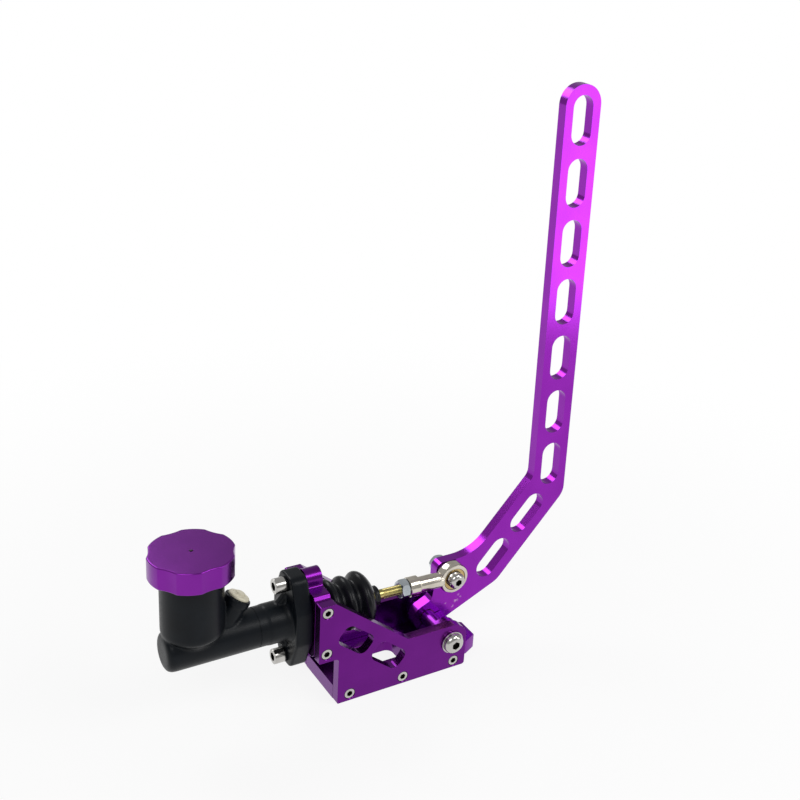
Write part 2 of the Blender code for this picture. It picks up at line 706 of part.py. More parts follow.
CLIP_X = SPIGOT_END_X - 0.0026
bore = turned("bore", [(0.0, SPIGOT_END_X + 0.001), (BORE_R, SPIGOT_END_X + 0.001),
                       (BORE_R, CLIP_X + FIT), (BORE_R + 0.0012, CLIP_X + FIT),
                       (BORE_R + 0.0012, CLIP_X - CIRCLIP_T - FIT),
                       (BORE_R, CLIP_X - CIRCLIP_T - FIT), (BORE_R, BORE_END_X),
                       (FEED_R, BORE_END_X), (FEED_R, BORE_END_X - FEED_DEPTH),
                       (0.0, BORE_END_X - FEED_DEPTH)], ON_AXIS, WEST, steps=24)
combine(body, bore)
cavity_r = RES_R - RES_WALL
cavity = turned("reservoir_space", [(0.0, NECK_TOP_Z + 0.001), (cavity_r + 0.0018, NECK_TOP_Z + 0.001),
                                    (cavity_r + 0.0018, neck_low), (cavity_r, neck_low - 0.0025),
                                    (cavity_r, RES_FLOOR_Z + 0.003), (cavity_r - 0.003, RES_FLOOR_Z),
                                    (0.0, RES_FLOOR_Z)],
                (RES_X, 0, 0), (0, 0, 0), steps=28, start=OFF_SEAM)
combine(body, cavity)
feed = turned("feed_hole", rod_profile(FEED_R / 2, CYL_Z, RES_FLOOR_Z + 0.001),
              (BORE_END_X - FEED_DEPTH / 2, 0, 0), (0, 0, 0), steps=14)
combine(body, feed)
port_cut = turned("port_bore", [(0.0, 0.001), (PORT_SEAT_R, 0.001), (PORT_SEAT_R, -PORT_SEAT_DEPTH),
                                (PORT_BORE_R, -PORT_SEAT_DEPTH), (PORT_BORE_R, -PORT_DEPTH),
                                (PORT_BORE_R / 2, -PORT_DEPTH - 0.002),
                                (PORT_BORE_R / 2, -PORT_LENGTH), (0.0, -PORT_LENGTH)],
                  (PORT_X, 0, PORT_Z), (0, PORT_LEAN, 0), steps=20, start=OFF_SEAM)
combine(body, port_cut)
for side in (1, -1):
    hole = turned(f"flange_hole_{side}",
                  rod_profile(BOLT_R + FIT, FLANGE_FRONT_X - BOLT_HEAD_H, FLANGE_REAR_X + 0.001),
                  (0, 0, CYL_Z + side * BOLT_HALF), WEST, steps=14)
    combine(body, hole)

# Flange bolts and their lock washers
washer_front_x = FLANGE_FRONT_X - GAP - LOCK_WASHER_T
for side, word in ((1, "upper"), (-1, "lower")):
    z = CYL_Z + side * BOLT_HALF
    turned(f"flange_washer_{word}",
           tube_profile(LOCK_WASHER_R, BOLT_R + FIT, 0.0, LOCK_WASHER_T),
           (washer_front_x, 0, z), WEST, ZINC, steps=24, ring=True)
    socket_screw(f"flange_bolt_{word}", cap_head(BOLT_HEAD_R, BOLT_HEAD_H), BOLT_R,
                 GAP + LOCK_WASHER_T + FLANGE_T + GAP + MOUNT_T, 0.006, 0.004, BOLT_HEAD_H,
                 (washer_front_x - GAP, 0, z), BOLT_HEADS["-X"], STEEL, steps=20)

# Reservoir cap, sealing disc and port plug
cap_low = CAP_TOP_Z - CAP_H
cap_pts = []
for k in range(90):
    a = math.tau * k / 90
    offset = (a - math.radians(7.0)) % (math.tau / CAP_SCALLOPS) - math.tau / CAP_SCALLOPS / 2
    dip = 0.0
    if abs(offset) < CAP_SCALLOP_HALF:
        dip = CAP_SCALLOP_DEPTH * (1 - (offset / CAP_SCALLOP_HALF) ** 2)
    cap_pts.append(((CAP_R - dip) * math.cos(a), (CAP_R - dip) * math.sin(a)))
cap = flat("reservoir_cap", cap_pts, [], CAP_H, (RES_X, 0, cap_low + CAP_H / 2), (0, 0, 0),
           PURPLE, bevel=0.0009)
cap_roof = NECK_TOP_Z + GAP + SEAL_T + GAP
combine(cap, turned("cap_space", rod_profile(NECK_R + FIT, cap_low - 0.001, cap_roof),
                    (RES_X, 0, 0), (0, 0, 0), steps=48))
combine(cap, turned("cap_vent", rod_profile(CAP_VENT_R, cap_roof - 0.001, CAP_TOP_Z + 0.001),
                    (RES_X, 0, 0), (0, 0, 0), steps=14))
seal_low = NECK_TOP_Z + GAP
turned("cap_seal", [(0.0, seal_low + SEAL_T * 0.6), (NECK_R * 0.7, seal_low + SEAL_T * 0.6),
                    (NECK_R * 0.78, seal_low + SEAL_T), (NECK_R - 0.0006, seal_low + SEAL_T),
                    (NECK_R - 0.0006, seal_low), (0.0, seal_low)],
       (RES_X, 0, 0), (0, 0, 0), RUBBER, steps=24)
plug_r = PORT_BORE_R - FIT
rim_r = PORT_SEAT_R - FIT
rim_low = GAP - PORT_SEAT_DEPTH
turned("port_plug", [(0.0, 0.0038), (0.0035, 0.0038), (0.0038, 0.0035), (0.0040, 0.0020),
                     (rim_r - 0.0005, 0.0018), (rim_r, 0.0013), (rim_r, rim_low),
                     (plug_r, rim_low), (plug_r - 0.0005, -PORT_DEPTH + 0.001),
                     (0.0, -PORT_DEPTH + 0.001)],
       (PORT_X, 0, PORT_Z), (0, PORT_LEAN, 0), CREAM, steps=22)

# Piston, cups, valve and spring
PISTON_R = BORE_R - FIT
clip_low = CLIP_X - CIRCLIP_T
stop_high = clip_low - GAP
stop_low = stop_high - STOP_T
piston_rear = stop_low - GAP
land = 0.0035
cup_2 = ROD_SEAT_X - 0.0005
piston_profile = [(SOCKET_R + 0.0008, piston_rear), (PISTON_R - 0.0004, piston_rear),
                  (PISTON_R, piston_rear - 0.0004), (PISTON_R, cup_2), (PISTON_GROOVE_R, cup_2),
                  (PISTON_GROOVE_R, cup_2 - PISTON_CUP_W), (PISTON_R, cup_2 - PISTON_CUP_W),
                  (PISTON_R, cup_2 - PISTON_CUP_W - 0.002),
                  (PISTON_GROOVE_R, cup_2 - PISTON_CUP_W - 0.0028),
                  (PISTON_GROOVE_R, PISTON_FRONT_X + land + PISTON_CUP_W + 0.0028),
                  (PISTON_R, PISTON_FRONT_X + land + PISTON_CUP_W + 0.002),
                  (PISTON_R, PISTON_FRONT_X + land + PISTON_CUP_W),
                  (PISTON_GROOVE_R, PISTON_FRONT_X + land + PISTON_CUP_W),
                  (PISTON_GROOVE_R, PISTON_FRONT_X + land), (PISTON_R, PISTON_FRONT_X + land),
                  (PISTON_R, PISTON_FRONT_X), (0.0, PISTON_FRONT_X)]
socket = [(SOCKET_R * math.sin(math.pi / 2 * k / 5),
           ROD_SEAT_X - SOCKET_R * math.cos(math.pi / 2 * k / 5)) for k in range(6)]
turned("piston", [(0.0, ROD_SEAT_X - SOCKET_R)] + socket[1:] + piston_profile,
       ON_AXIS, WEST, ALLOY, steps=18)
for word, high in (("rear", cup_2), ("front", PISTON_FRONT_X + land + PISTON_CUP_W)):
    inner = PISTON_GROOVE_R + FIT
    turned(f"piston_cup_{word}",
           [(PISTON_R - 0.0008, high - FIT), (PISTON_R, high - PISTON_CUP_W + FIT),
            (PISTON_R - 0.0009, high - PISTON_CUP_W + FIT), (inner + 0.0006, high - 0.0021),
            (inner, high - PISTON_CUP_W + FIT + 0.0003), (inner, high - FIT)],
           ON_AXIS, WEST, RUBBER, steps=16, ring=True)

thimble_x = PISTON_FRONT_X - GAP
turned("spring_thimble",
       [(THIMBLE_R, thimble_x), (PISTON_R - 0.0008, thimble_x),
        (PISTON_R - 0.0008, thimble_x - 0.0012), (THIMBLE_R + 0.001, thimble_x - 0.0012),
        (THIMBLE_R + 0.001, thimble_x - THIMBLE_L), (STEM_R + FIT, thimble_x - THIMBLE_L),
        (STEM_R + FIT, thimble_x - THIMBLE_L + 0.001), (THIMBLE_R, thimble_x - THIMBLE_L + 0.001)],
       ON_AXIS, WEST, STEEL, steps=16, ring=True)
stem_head = thimble_x - THIMBLE_L + 0.001 + GAP
spacer_high = BORE_END_X + GAP + SPACER_L
spacer_r = BORE_R - 0.0006
turned("valve_spacer",
       [(spacer_r, spacer_high), (spacer_r, BORE_END_X + GAP), (spacer_r - 0.0012, BORE_END_X + GAP),
        (spacer_r - 0.0012, spacer_high - 0.0014), (STEM_R + FIT, spacer_high - 0.0014),
        (STEM_R + FIT, spacer_high)], ON_AXIS, WEST, CREAM, steps=16, ring=True)
seal_face = BORE_END_X + 0.0018
turned("valve_stem",
       [(0.0, stem_head + 0.0014), (STEM_HEAD_R, stem_head + 0.0014), (STEM_HEAD_R, stem_head),
        (STEM_R, stem_head), (STEM_R, seal_face + 0.0040), (STEM_HEAD_R, seal_face + 0.0040),
        (STEM_HEAD_R, seal_face + 0.0028), (0.0, seal_face + 0.0028)],
       ON_AXIS, WEST, STEEL, steps=12)
turned("valve_seal",
       [(0.0, seal_face + 0.0025), (FEED_R + 0.0018, seal_face + 0.0025),
        (FEED_R + 0.0018, seal_face), (0.0, seal_face)], ON_AXIS, WEST, RUBBER, steps=16)

SPRING_R = BORE_R - WIRE_R - 0.0008
spring_high = thimble_x - 0.0012 - GAP - WIRE_R
spring_low = spacer_high + GAP + WIRE_R
coil = bpy.data.curves.new("return_spring", "CURVE")
coil.dimensions = "3D"
coil.bevel_depth = WIRE_R
coil.bevel_resolution = 0
coil.use_fill_caps = True
line = coil.splines.new("POLY")
per_turn = 12
total = SPRING_TURNS * per_turn
line.points.add(total)
for k in range(total + 1):
    part = k / total
    closed = 1.0 / SPRING_TURNS
    rise = min(max((part - closed) / (1 - 2 * closed), 0.0), 1.0)
    lead = 2.3 * WIRE_R
    if part < closed:
        x = spring_low + lead * part / closed
    elif part > 1 - closed:
        x = spring_high - lead * (1 - part) / closed
    else:
        x = spring_low + lead + (spring_high - spring_low - 2 * lead) * rise
    a = math.tau * k / per_turn
    line.points[k].co = (x, SPRING_R * math.cos(a), SPRING_R * math.sin(a), 1.0)
place(bpy.data.objects.new("return_spring", coil), PARTS, ON_AXIS)
dress(bpy.data.objects["return_spring"], STEEL)

turned("stop_washer", tube_profile(BORE_R - FIT, STOP_HOLE_R, stop_low, stop_high),
       ON_AXIS, WEST, STEEL, steps=18, ring=True)
clip = []
opening = math.radians(50)
clip_out = BORE_R + 0.0012 - FIT
clip_in = BORE_R - 0.0019
for k in range(25):
    a = opening / 2 + (math.tau - opening) * k / 24
    clip.append((clip_out * math.cos(a), clip_out * math.sin(a)))
for k in range(25):
    a = math.tau - opening / 2 - (math.tau - opening) * k / 24
    clip.append((clip_in * math.cos(a), clip_in * math.sin(a)))
flat("circlip", clip, [], CIRCLIP_T, (CLIP_X - CIRCLIP_T / 2, 0, CYL_Z), ACROSS_X, STEEL)

# Push rod line: local height runs from the seat in the piston towards the rod end
ALONG_ROD = (0.0, math.pi / 2 + ROD_DROP, 0.0)
SEAT = (ROD_SEAT_X, 0.0, CYL_Z)
collar_low = ROD_SPAN - END_LENGTH
nut_high = collar_low - GAP
nut_low = nut_high - NUT_T
rod_tip = [(ROD_R * math.cos(math.pi / 2 * k / 4), -ROD_R * math.sin(math.pi / 2 * k / 4))
           for k in range(5)]
rod_top = ROD_SPAN - END_HEAD_R - 0.004
turned("push_rod", [(0.0, rod_top), (ROD_R - 0.0005, rod_top), (ROD_R, rod_top - 0.0005)] + rod_tip,
       SEAT, ALONG_ROD, YELLOW_ZINC, steps=24)
lock_nut = flat("lock_nut", prism_outline(NUT_AF, start=math.radians(12)),
                [circle(0, 0, ROD_R + FIT, 16)],
                NUT_T, (0, 0, 0), (0, 0, 0), ZINC, bevel=0.0005)
rod_frame = Matrix.LocRotScale(Vector(SEAT), None, None) @ Matrix.Rotation(ALONG_ROD[1], 4, "Y")
lock_nut.matrix_world = rod_frame @ Matrix.Translation((0, 0, nut_low + NUT_T / 2))

BALL_AT = (BALL_X, 0.0, BALL_Z)
liner_out = BALL_R + FIT + LINER_T
housing = turned("rod_end_housing",
                 [(0.0, ROD_SPAN - END_HEAD_R * 0.6), (END_SHANK_R * 0.8, ROD_SPAN - END_HEAD_R * 0.6),
                  (END_SHANK_R, ROD_SPAN - END_HEAD_R - 0.002),
                  (END_SHANK_R, collar_low + END_COLLAR_L + 0.0008),
                  (END_COLLAR_R, collar_low + END_COLLAR_L),
                  (END_COLLAR_R, collar_low + 0.0006), (END_COLLAR_R - 0.0006, collar_low),
                  (0.0, collar_low)], SEAT, ALONG_ROD, NICKEL, steps=28)
half_w = END_HEAD_W / 2
head = turned("rod_end_head", [(0.0, half_w), (END_HEAD_R - 0.002, half_w),
                               (END_HEAD_R, half_w - 0.0012), (END_HEAD_R, -half_w + 0.0012),
                               (END_HEAD_R - 0.002, -half_w), (0.0, -half_w)],
              BALL_AT, BOLT_HEADS["-Y"], steps=36)
combine(housing, head, "UNION")
eye = turned("rod_end_eye", rod_profile(liner_out + 0.0001, -0.02, 0.02), BALL_AT,
             BOLT_HEADS["-Y"], steps=32)
combine(housing, eye)
for side in (-1, 1):
    flat_cut = box(f"collar_flat_{side}", (-0.02, 0.0, 0.0), (0.02, 0.01, END_COLLAR_L - 0.001))
    flat_cut.matrix_world = rod_frame @ Matrix.Translation(
        (0, side * (END_COLLAR_R - 0.0011 + 0.005), collar_low + (END_COLLAR_L - 0.001) / 2 - 0.0005))
    combine(housing, flat_cut)
thread = turned("rod_end_thread", rod_profile(ROD_R + FIT, collar_low - 0.001, rod_top + 0.001),
                SEAT, ALONG_ROD, steps=24)
combine(housing, thread)

race = []
race_half = half_w - 0.0003
for k in range(5):
    a = math.asin(race_half / (BALL_R + FIT)) * (k / 2 - 1)
    race.append(((BALL_R + FIT) * math.cos(a), (BALL_R + FIT) * math.sin(a)))
turned("rod_end_liner", [(liner_out - FIT, race_half), (liner_out - FIT, -race_half)] + race,
       BALL_AT, BOLT_HEADS["-Y"], BRASS, steps=28, ring=True)
ball_half = BALL_W / 2
hole_r = END_BOLT_R + FIT
face_r = math.sqrt(max(BALL_R ** 2 - ball_half ** 2, (hole_r + 0.0004) ** 2))
ball_pts = []
for k in range(7):
    a = math.atan2(ball_half, face_r) * (1 - k / 3)
    ball_pts.append((math.hypot(face_r, ball_half) * math.cos(a),
                     math.hypot(face_r, ball_half) * math.sin(a)))
turned("rod_end_ball", ball_pts + [(hole_r, -ball_half), (hole_r, ball_half)],
       BALL_AT, BOLT_HEADS["-Y"], STEEL, steps=24, ring=True)

end_head_y = -ball_half - GAP
nut_y = LEVER_FAR_Y + GAP + WASHER_T + GAP
end_bolt = socket_screw("rod_end_bolt", button_head(END_HEAD_BOLT_R, END_HEAD_BOLT_H), END_BOLT_R,
                        nut_y + END_NUT_T + 0.0015 - end_head_y, 0.005, 0.003, END_HEAD_BOLT_H,
                        (BALL_X, end_head_y, BALL_Z), BOLT_HEADS["-Y"], STEEL, steps=24)
turned("rod_end_spacer", tube_profile(0.0062, hole_r, 0.0, END_SPACER_T),
       (BALL_X, ball_half + GAP, BALL_Z), BOLT_HEADS["+Y"], STEEL, steps=24, ring=True)
turned("rod_end_washer", tube_profile(0.008, hole_r, 0.0, WASHER_T),
       (BALL_X, LEVER_FAR_Y + GAP, BALL_Z), BOLT_HEADS["+Y"], ZINC, steps=24, ring=True)
flat("rod_end_nut", prism_outline(END_NUT_AF, start=math.radians(8)), [circle(0, 0, hole_r, 16)],
     END_NUT_T, (BALL_X, nut_y + END_NUT_T / 2, BALL_Z), ACROSS_Y, ZINC, bevel=0.0005)

# Boot, turned about the cylinder's axis; its neck follows the rod's slope
boot_low = MOUNT_REAR_X + GAP
fold_start = boot_low + BOOT_BEAD_L
boot_mean = (BOOT_PEAK_R + BOOT_VALLEY_R) / 2
boot_swing = (BOOT_PEAK_R - BOOT_VALLEY_R) / 2
per_fold = 6
outer = []
for k in range(BOOT_FOLDS * per_fold - per_fold // 2 + 1):
    part = k / per_fold
    growth = BOOT_GROWTH * max(0.0, part - BOOT_FOLDS + 1.5)
    outer.append((boot_mean - boot_swing * math.cos(math.tau * part) + growth,
                  fold_start + BOOT_FOLD * part))
cone_r, cone_start = outer[-1]
cone_end = cone_start + BOOT_CONE_L
hold_r = ROD_R + BOOT_ROD_FIT
neck_r = hold_r + BOOT_NECK_WALL
for share, along in ((0.985, 0.18), (0.86, 0.45), (0.62, 0.70)):
    outer.append((cone_r * share, cone_start + BOOT_CONE_L * along))
inner_side = []
for r, h in outer:
    least = SPIGOT_R + FIT if h < SPIGOT_END_X + 0.001 else hold_r
    inner_side.append((max(r - BOOT_WALL, least), h - (BOOT_WALL if h > cone_start else 0.0)))
outer += [(neck_r + 0.0004, cone_end - 0.0006), (neck_r, cone_end + BOOT_NECK_L * 0.3),
          (neck_r, cone_end + BOOT_NECK_L)]
bead_r = SPIGOT_R - 0.001 + FIT
boot_profile = list(reversed(outer)) + [(BOOT_VALLEY_R + 0.0004, boot_low), (bead_r, boot_low),
                                        (bead_r, fold_start - 0.0006)]
boot_profile += inner_side + [(hold_r, cone_end), (hold_r, cone_end + BOOT_NECK_L)]
boot = bake(turned("dust_boot", boot_profile, ON_AXIS, WEST, RUBBER, steps=24, ring=True))
for vert in boot.data.vertices:
    share = min(max((vert.co.z - fold_start) / (cone_start - fold_start), 0.0), 1.0)
    vert.co.x += share * (vert.co.z - ROD_SEAT_X) * math.tan(ROD_DROP)

# Lever outline in the XZ plane
HINGE = Vector((HINGE_X, HINGE_Z))
BEND = Vector((BEND_X, BEND_Z))
grip_dir = Vector((-math.sin(GRIP_LEAN), math.cos(GRIP_LEAN)))
grip_out = Vector((math.cos(GRIP_LEAN), math.sin(GRIP_LEAN)))
bent_dir = Vector((math.cos(BENT_ANGLE), math.sin(BENT_ANGLE)))
bent_out = Vector((math.sin(BENT_ANGLE), -math.cos(BENT_ANGLE)))
foot_dir = Vector((math.cos(FOOT_ANGLE), math.sin(FOOT_ANGLE)))
foot_out = Vector((math.sin(FOOT_ANGLE), -math.cos(FOOT_ANGLE)))
GRIP_LENGTH = (GRIP_TOP_Z - BEND_Z) / math.cos(GRIP_LEAN)


def meet(p, d, q, e):
    """Point where the line through p along d crosses the line through q along e."""
    across = d.x * e.y - d.y * e.x
    t = ((q.x - p.x) * e.y - (q.y - p.y) * e.x) / across
    return p + d * t


grip_left = BEND - grip_out * GRIP_W / 2
grip_right = BEND + grip_out * GRIP_W / 2
bent_left = BEND - bent_out * BENT_W / 2
bent_right = BEND + bent_out * BENT_W / 2
foot_right = HINGE + foot_out * FOOT_R
foot_left = HINGE - foot_out * FOOT_R
lug_top = Vector((BALL_X, BALL_Z + LUG_R))
level = Vector((1.0, 0.0))
lug_front = BALL_X - LUG_R
throat_x = HINGE_X + 0.0035
corners = []
tip_r = GRIP_W / 2 * 0.98
for point, radius in ((grip_left + grip_dir * GRIP_LENGTH, tip_r),
                      (grip_right + grip_dir * GRIP_LENGTH, tip_r),
                      (meet(grip_right, grip_dir, bent_right, bent_dir), 0.016),
                      (meet(bent_right, bent_dir, foot_right, foot_dir), 0.02),
                      (foot_right - foot_dir * FOOT_R, FOOT_R * 0.99),
                      (foot_left - foot_dir * FOOT_R, FOOT_R * 0.99),
                      (meet(foot_left, foot_dir, Vector((throat_x, 0)), Vector((0, 1))), 0.006),
                      (Vector((lug_front, BALL_Z - LUG_R * 0.3)), 0.02),
                      (Vector((lug_front, BALL_Z + LUG_R)), LUG_R * 0.99),
                      (meet(lug_top, level, bent_left, bent_dir), 0.045),
                      (meet(bent_left, bent_dir, grip_left, grip_dir), 0.012)):
    corners.append((point.x, point.y, radius))
slots = []
for k in range(GRIP_SLOTS):
    spot = BEND + grip_dir * ((SLOT_FIRST_Z - BEND_Z) + SLOT_PITCH * k)
    slots.append(slot(spot.x, spot.y, SLOT_L, SLOT_W, math.pi / 2 + GRIP_LEAN))
for k in range(2):
    spot = BEND - bent_dir * (BENT_SLOT_FIRST + BENT_SLOT_PITCH * k)
    slots.append(slot(spot.x, spot.y, SLOT_L, SLOT_W, BENT_ANGLE))
bush_out = HINGE_R + FIT + BUSH_T
screw_spots = []
for angle in HUB_SCREW_ANGLES:
    screw_spots.append((HINGE_X + HUB_SCREW_ORBIT * math.cos(angle),
                        HINGE_Z + HUB_SCREW_ORBIT * math.sin(angle)))
lever_holes = [circle(HINGE_X, HINGE_Z, bush_out + FIT, 28), circle(BALL_X, BALL_Z, hole_r, 24)]
lever_holes += [circle(x, z, HUB_SCREW_R + FIT, 12) for x, z in screw_spots]
lever = flat("lever", rounded(corners), slots + lever_holes, LEVER_T, (0, LEVER_MID_Y, 0),
             ACROSS_Y, PURPLE, bevel=LEVER_CHAMFER)

# Hinge pieces
turned("hinge_bush", tube_profile(bush_out, HINGE_R + FIT, -LEVER_T / 2, LEVER_T / 2),
       (HINGE_X, LEVER_MID_Y, HINGE_Z), BOLT_HEADS["+Y"], BRASS, steps=20, ring=True)
hub_near = -PLATE_IN_Y + GAP
hub_far = LEVER_NEAR_Y - GAP
hub_mid = (hub_near + hub_far) / 2
stop_x = BASE_L / 2 + GAP
shelf_z = BASE_T + 0.0016
heel_side = rounded([(HINGE_X + HUB_R * 0.75, shelf_z, 0.0), (stop_x, shelf_z, 0.0),
                     (stop_x, HEEL_LOW_Z, 0.0008), (HEEL_X, HEEL_LOW_Z, 0.0008),
                     (HEEL_X, HEEL_TOP_Z, 0.001), (stop_x + 0.0035, HEEL_TOP_Z, 0.004),
                     (HINGE_X + HUB_R * 0.97, HINGE_Z + 0.002, 0.0), (HINGE_X, HINGE_Z, 0.0),
                     (HINGE_X, HINGE_Z - HUB_R * 0.6, 0.0)])
hub_step = hub_near + HUB_PLATE_T
block = turned("pivot_block", [(0.0, hub_near), (HUB_R, hub_near), (HUB_R, hub_step),
                               (SLEEVE_R, hub_step), (SLEEVE_R, hub_far), (0.0, hub_far)],
               (HINGE_X, 0, HINGE_Z), BOLT_HEADS["+Y"], PURPLE, steps=36)
foot = [(HINGE_X, HINGE_Z)]
for k in range(15):
    a = HUB_FOOT_FROM + (HUB_FOOT_TO - HUB_FOOT_FROM) * k / 14
    foot.append((HINGE_X + (HUB_R - 0.0002) * math.cos(a), HINGE_Z + (HUB_R - 0.0002) * math.sin(a)))
foot_low = hub_step - 0.002
foot_high = hub_far - 0.0002
combine(block, flat("hub_foot", foot, [], foot_high - foot_low,
                    (0, (foot_low + foot_high) / 2, 0), ACROSS_Y), "UNION")
heel_near = hub_near + 0.0003
heel_far = hub_far - 0.0003
heel = flat("heel", heel_side, [], heel_far - heel_near, (0, hub_mid, 0), ACROSS_Y)
for side, edge in ((-1, heel_near), (1, heel_far)):
    taper = flat(f"heel_taper_{side}",
                 [(HEEL_X - HEEL_TAPER_L, edge), (HEEL_X + 0.001, edge - side * HEEL_TAPER * 1.095),
                  (HEEL_X + 0.001, edge + side * 0.001), (HEEL_X - HEEL_TAPER_L, edge + side * 0.001)],
                 [], 0.05, (0, 0, HEEL_TOP_Z / 2), (0, 0, 0))
    combine(heel, taper)
combine(block, heel, "UNION")
combine(block, turned("hub_bore", rod_profile(HINGE_R + FIT, -0.1, 0.1), (HINGE_X, 0, HINGE_Z),
                      BOLT_HEADS["+Y"], steps=28))
screw_depth = HUB_SCREW_L - (LEVER_T - 0.0022) + 0.0015
for k, (x, z) in enumerate(screw_spots):
    combine(block, turned(f"hub_tap_{k}", rod_profile(HUB_SCREW_R + FIT, -screw_depth, 0.001),
                          (x, hub_far, z), BOLT_HEADS["+Y"], steps=12))
    sink_r = HUB_SCREW_R * 1.75 + FIT
    combine(lever, turned(f"lever_sink_{k}", rod_profile(sink_r, -0.0024, 0.001),
                          (x, LEVER_FAR_Y, z), BOLT_HEADS["+Y"], steps=16))
    socket_screw(f"hub_screw_{k + 1}", cap_head(HUB_SCREW_R * 1.75, 0.002), HUB_SCREW_R,
                 HUB_SCREW_L, 0.002, 0.001, 0.002, (x, LEVER_FAR_Y - 0.0021, z),
                 BOLT_HEADS["+Y"], STEEL, steps=16)

turned("hinge_spacer", tube_profile(0.0085, HINGE_R + FIT, LEVER_FAR_Y + GAP, PLATE_IN_Y - GAP),
       (HINGE_X, 0, HINGE_Z), BOLT_HEADS["+Y"], PURPLE, steps=20, ring=True)
for side, word in ((-1, "near"), (1, "far")):
    turned(f"hinge_washer_{word}", tube_profile(HINGE_WASHER_R, HINGE_R + FIT, 0.0, WASHER_T),
           (HINGE_X, side * (PLATE_OUT_Y + GAP), HINGE_Z),
           BOLT_HEADS["+Y" if side > 0 else "-Y"], STEEL, steps=28, ring=True)
hinge_seat = PLATE_OUT_Y + GAP + WASHER_T + GAP
socket_screw("hinge_bolt", button_head(HINGE_HEAD_R, HINGE_HEAD_H), HINGE_R,
             2 * hinge_seat + HINGE_NUT_T + 0.002, 0.006, 0.0035, HINGE_HEAD_H,
             (HINGE_X, -hinge_seat, HINGE_Z), BOLT_HEADS["-Y"], STEEL, steps=28)
flat("hinge_nut", prism_outline(HINGE_NUT_AF, start=math.radians(10)),
     [circle(0, 0, HINGE_R + FIT, 18)], HINGE_NUT_T,
     (HINGE_X, hinge_seat + HINGE_NUT_T / 2, HINGE_Z), ACROSS_Y, ZINC, bevel=0.0006)

# Axes of the moving groups
named = bpy.data.objects
ride([named[n] for n in ("lever", "hinge_bush", "pivot_block", "hub_screw_1", "hub_screw_2",
                         "rod_end_ball", "rod_end_bolt", "rod_end_spacer", "rod_end_washer",
                         "rod_end_nut")],
     empty("lever_axis", (HINGE_X, LEVER_MID_Y, HINGE_Z)))
ride([named[n] for n in ("push_rod", "lock_nut", "rod_end_housing", "rod_end_liner")],
     empty("rod_axis", BALL_AT))
ride([named[n] for n in ("piston", "piston_cup_front", "piston_cup_rear", "spring_thimble")],
     empty("piston_axis", (PISTON_FRONT_X, 0, CYL_Z)))
ride([named[n] for n in ("valve_stem", "valve_seal")], empty("valve_axis", (BORE_END_X, 0, CYL_Z)))
ride([named["reservoir_cap"]], empty("cap_axis", (RES_X, 0, CAP_TOP_Z)))
ride([named["port_plug"]], empty("plug_axis", (PORT_X, 0, PORT_Z), (0, PORT_LEAN, 0)))

# Round surfaces read as round, edges stay crisp
for obj in list(PARTS.objects) + list(CUTTERS.objects):
    if obj.type == "MESH":
        obj.data.shade_smooth()
        obj.data.set_sharp_from_angle(angle=math.radians(38))
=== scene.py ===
"""The hydraulic hand brake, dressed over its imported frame."""
import math

import bpy
from mathutils import Matrix, Vector


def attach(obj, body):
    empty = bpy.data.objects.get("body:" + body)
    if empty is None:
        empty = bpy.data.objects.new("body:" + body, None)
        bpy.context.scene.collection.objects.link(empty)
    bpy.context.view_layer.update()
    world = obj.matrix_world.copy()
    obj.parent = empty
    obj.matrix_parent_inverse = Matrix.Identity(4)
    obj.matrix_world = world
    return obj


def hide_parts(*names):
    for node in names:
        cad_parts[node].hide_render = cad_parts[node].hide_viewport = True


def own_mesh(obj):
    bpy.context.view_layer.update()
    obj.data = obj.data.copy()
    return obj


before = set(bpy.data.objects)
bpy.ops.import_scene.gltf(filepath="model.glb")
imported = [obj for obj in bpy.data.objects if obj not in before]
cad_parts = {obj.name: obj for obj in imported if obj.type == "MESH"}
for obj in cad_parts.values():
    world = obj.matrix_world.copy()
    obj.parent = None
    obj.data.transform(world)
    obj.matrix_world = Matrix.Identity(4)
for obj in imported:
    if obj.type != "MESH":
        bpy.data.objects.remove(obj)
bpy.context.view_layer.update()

# Places and sizes that several pieces share, in metres
GAP = 0.0003
HINGE = Vector((0.0435, 0.0, 0.0254))
EYE = Vector((0.0598, 0.0, 0.0638))
BORE_Z = 0.0675
ROD_SEAT = Vector((-0.063, 0.0, BORE_Z))
ROD_DIR = (EYE - ROD_SEAT).normalized()
ROD_SPAN = (EYE - ROD_SEAT).length
CUP_X = -0.1585
PORT = Vector((-0.1238, 0.0, 0.098))
PORT_LEAN = math.radians(32.0)
PORT_DIR = Vector((math.sin(PORT_LEAN), 0.0, math.cos(PORT_LEAN)))
FLANGE_FRONT = -0.0871
FLANGE_REAR = -0.0738
MOUNT_FRONT = -0.0735
MOUNT_REAR = -0.0605
BOLT_HALF = 0.031
CHEEK_IN = 0.0235
CHEEK_OUT = 0.0315
LEVER_NEAR = 0.00785
LEVER_FAR = 0.01685
PLATE_TOP = 0.091
SHELF_TOP = 0.0402
SHELF_START = 0.0034
STEP_Z = 0.0415
BASE_HALF = 0.057
COUNTERBORE = 0.0054
HUB_R = 0.0130
WASHER_T = 0.0016
SCREW_TURN = 0.37
X, Y, Z = Vector((1, 0, 0)), Vector((0, 1, 0)), Vector((0, 0, 1))
CHEEK_SCREWS = [(-0.0465, 0.006), (0.0, 0.006), (0.0465, 0.006), (-0.067, 0.0846), (-0.067, 0.0486)]
# Scuff marks on the lever's near face: x, z and reach
SCUFFS = [(0.0737, 0.0368, 0.0032), (0.0706, 0.0341, 0.0034), (0.0611, 0.0320, 0.0022),
          (0.0601, 0.0260, 0.0026), (0.0674, 0.0288, 0.0018)]


# Tools

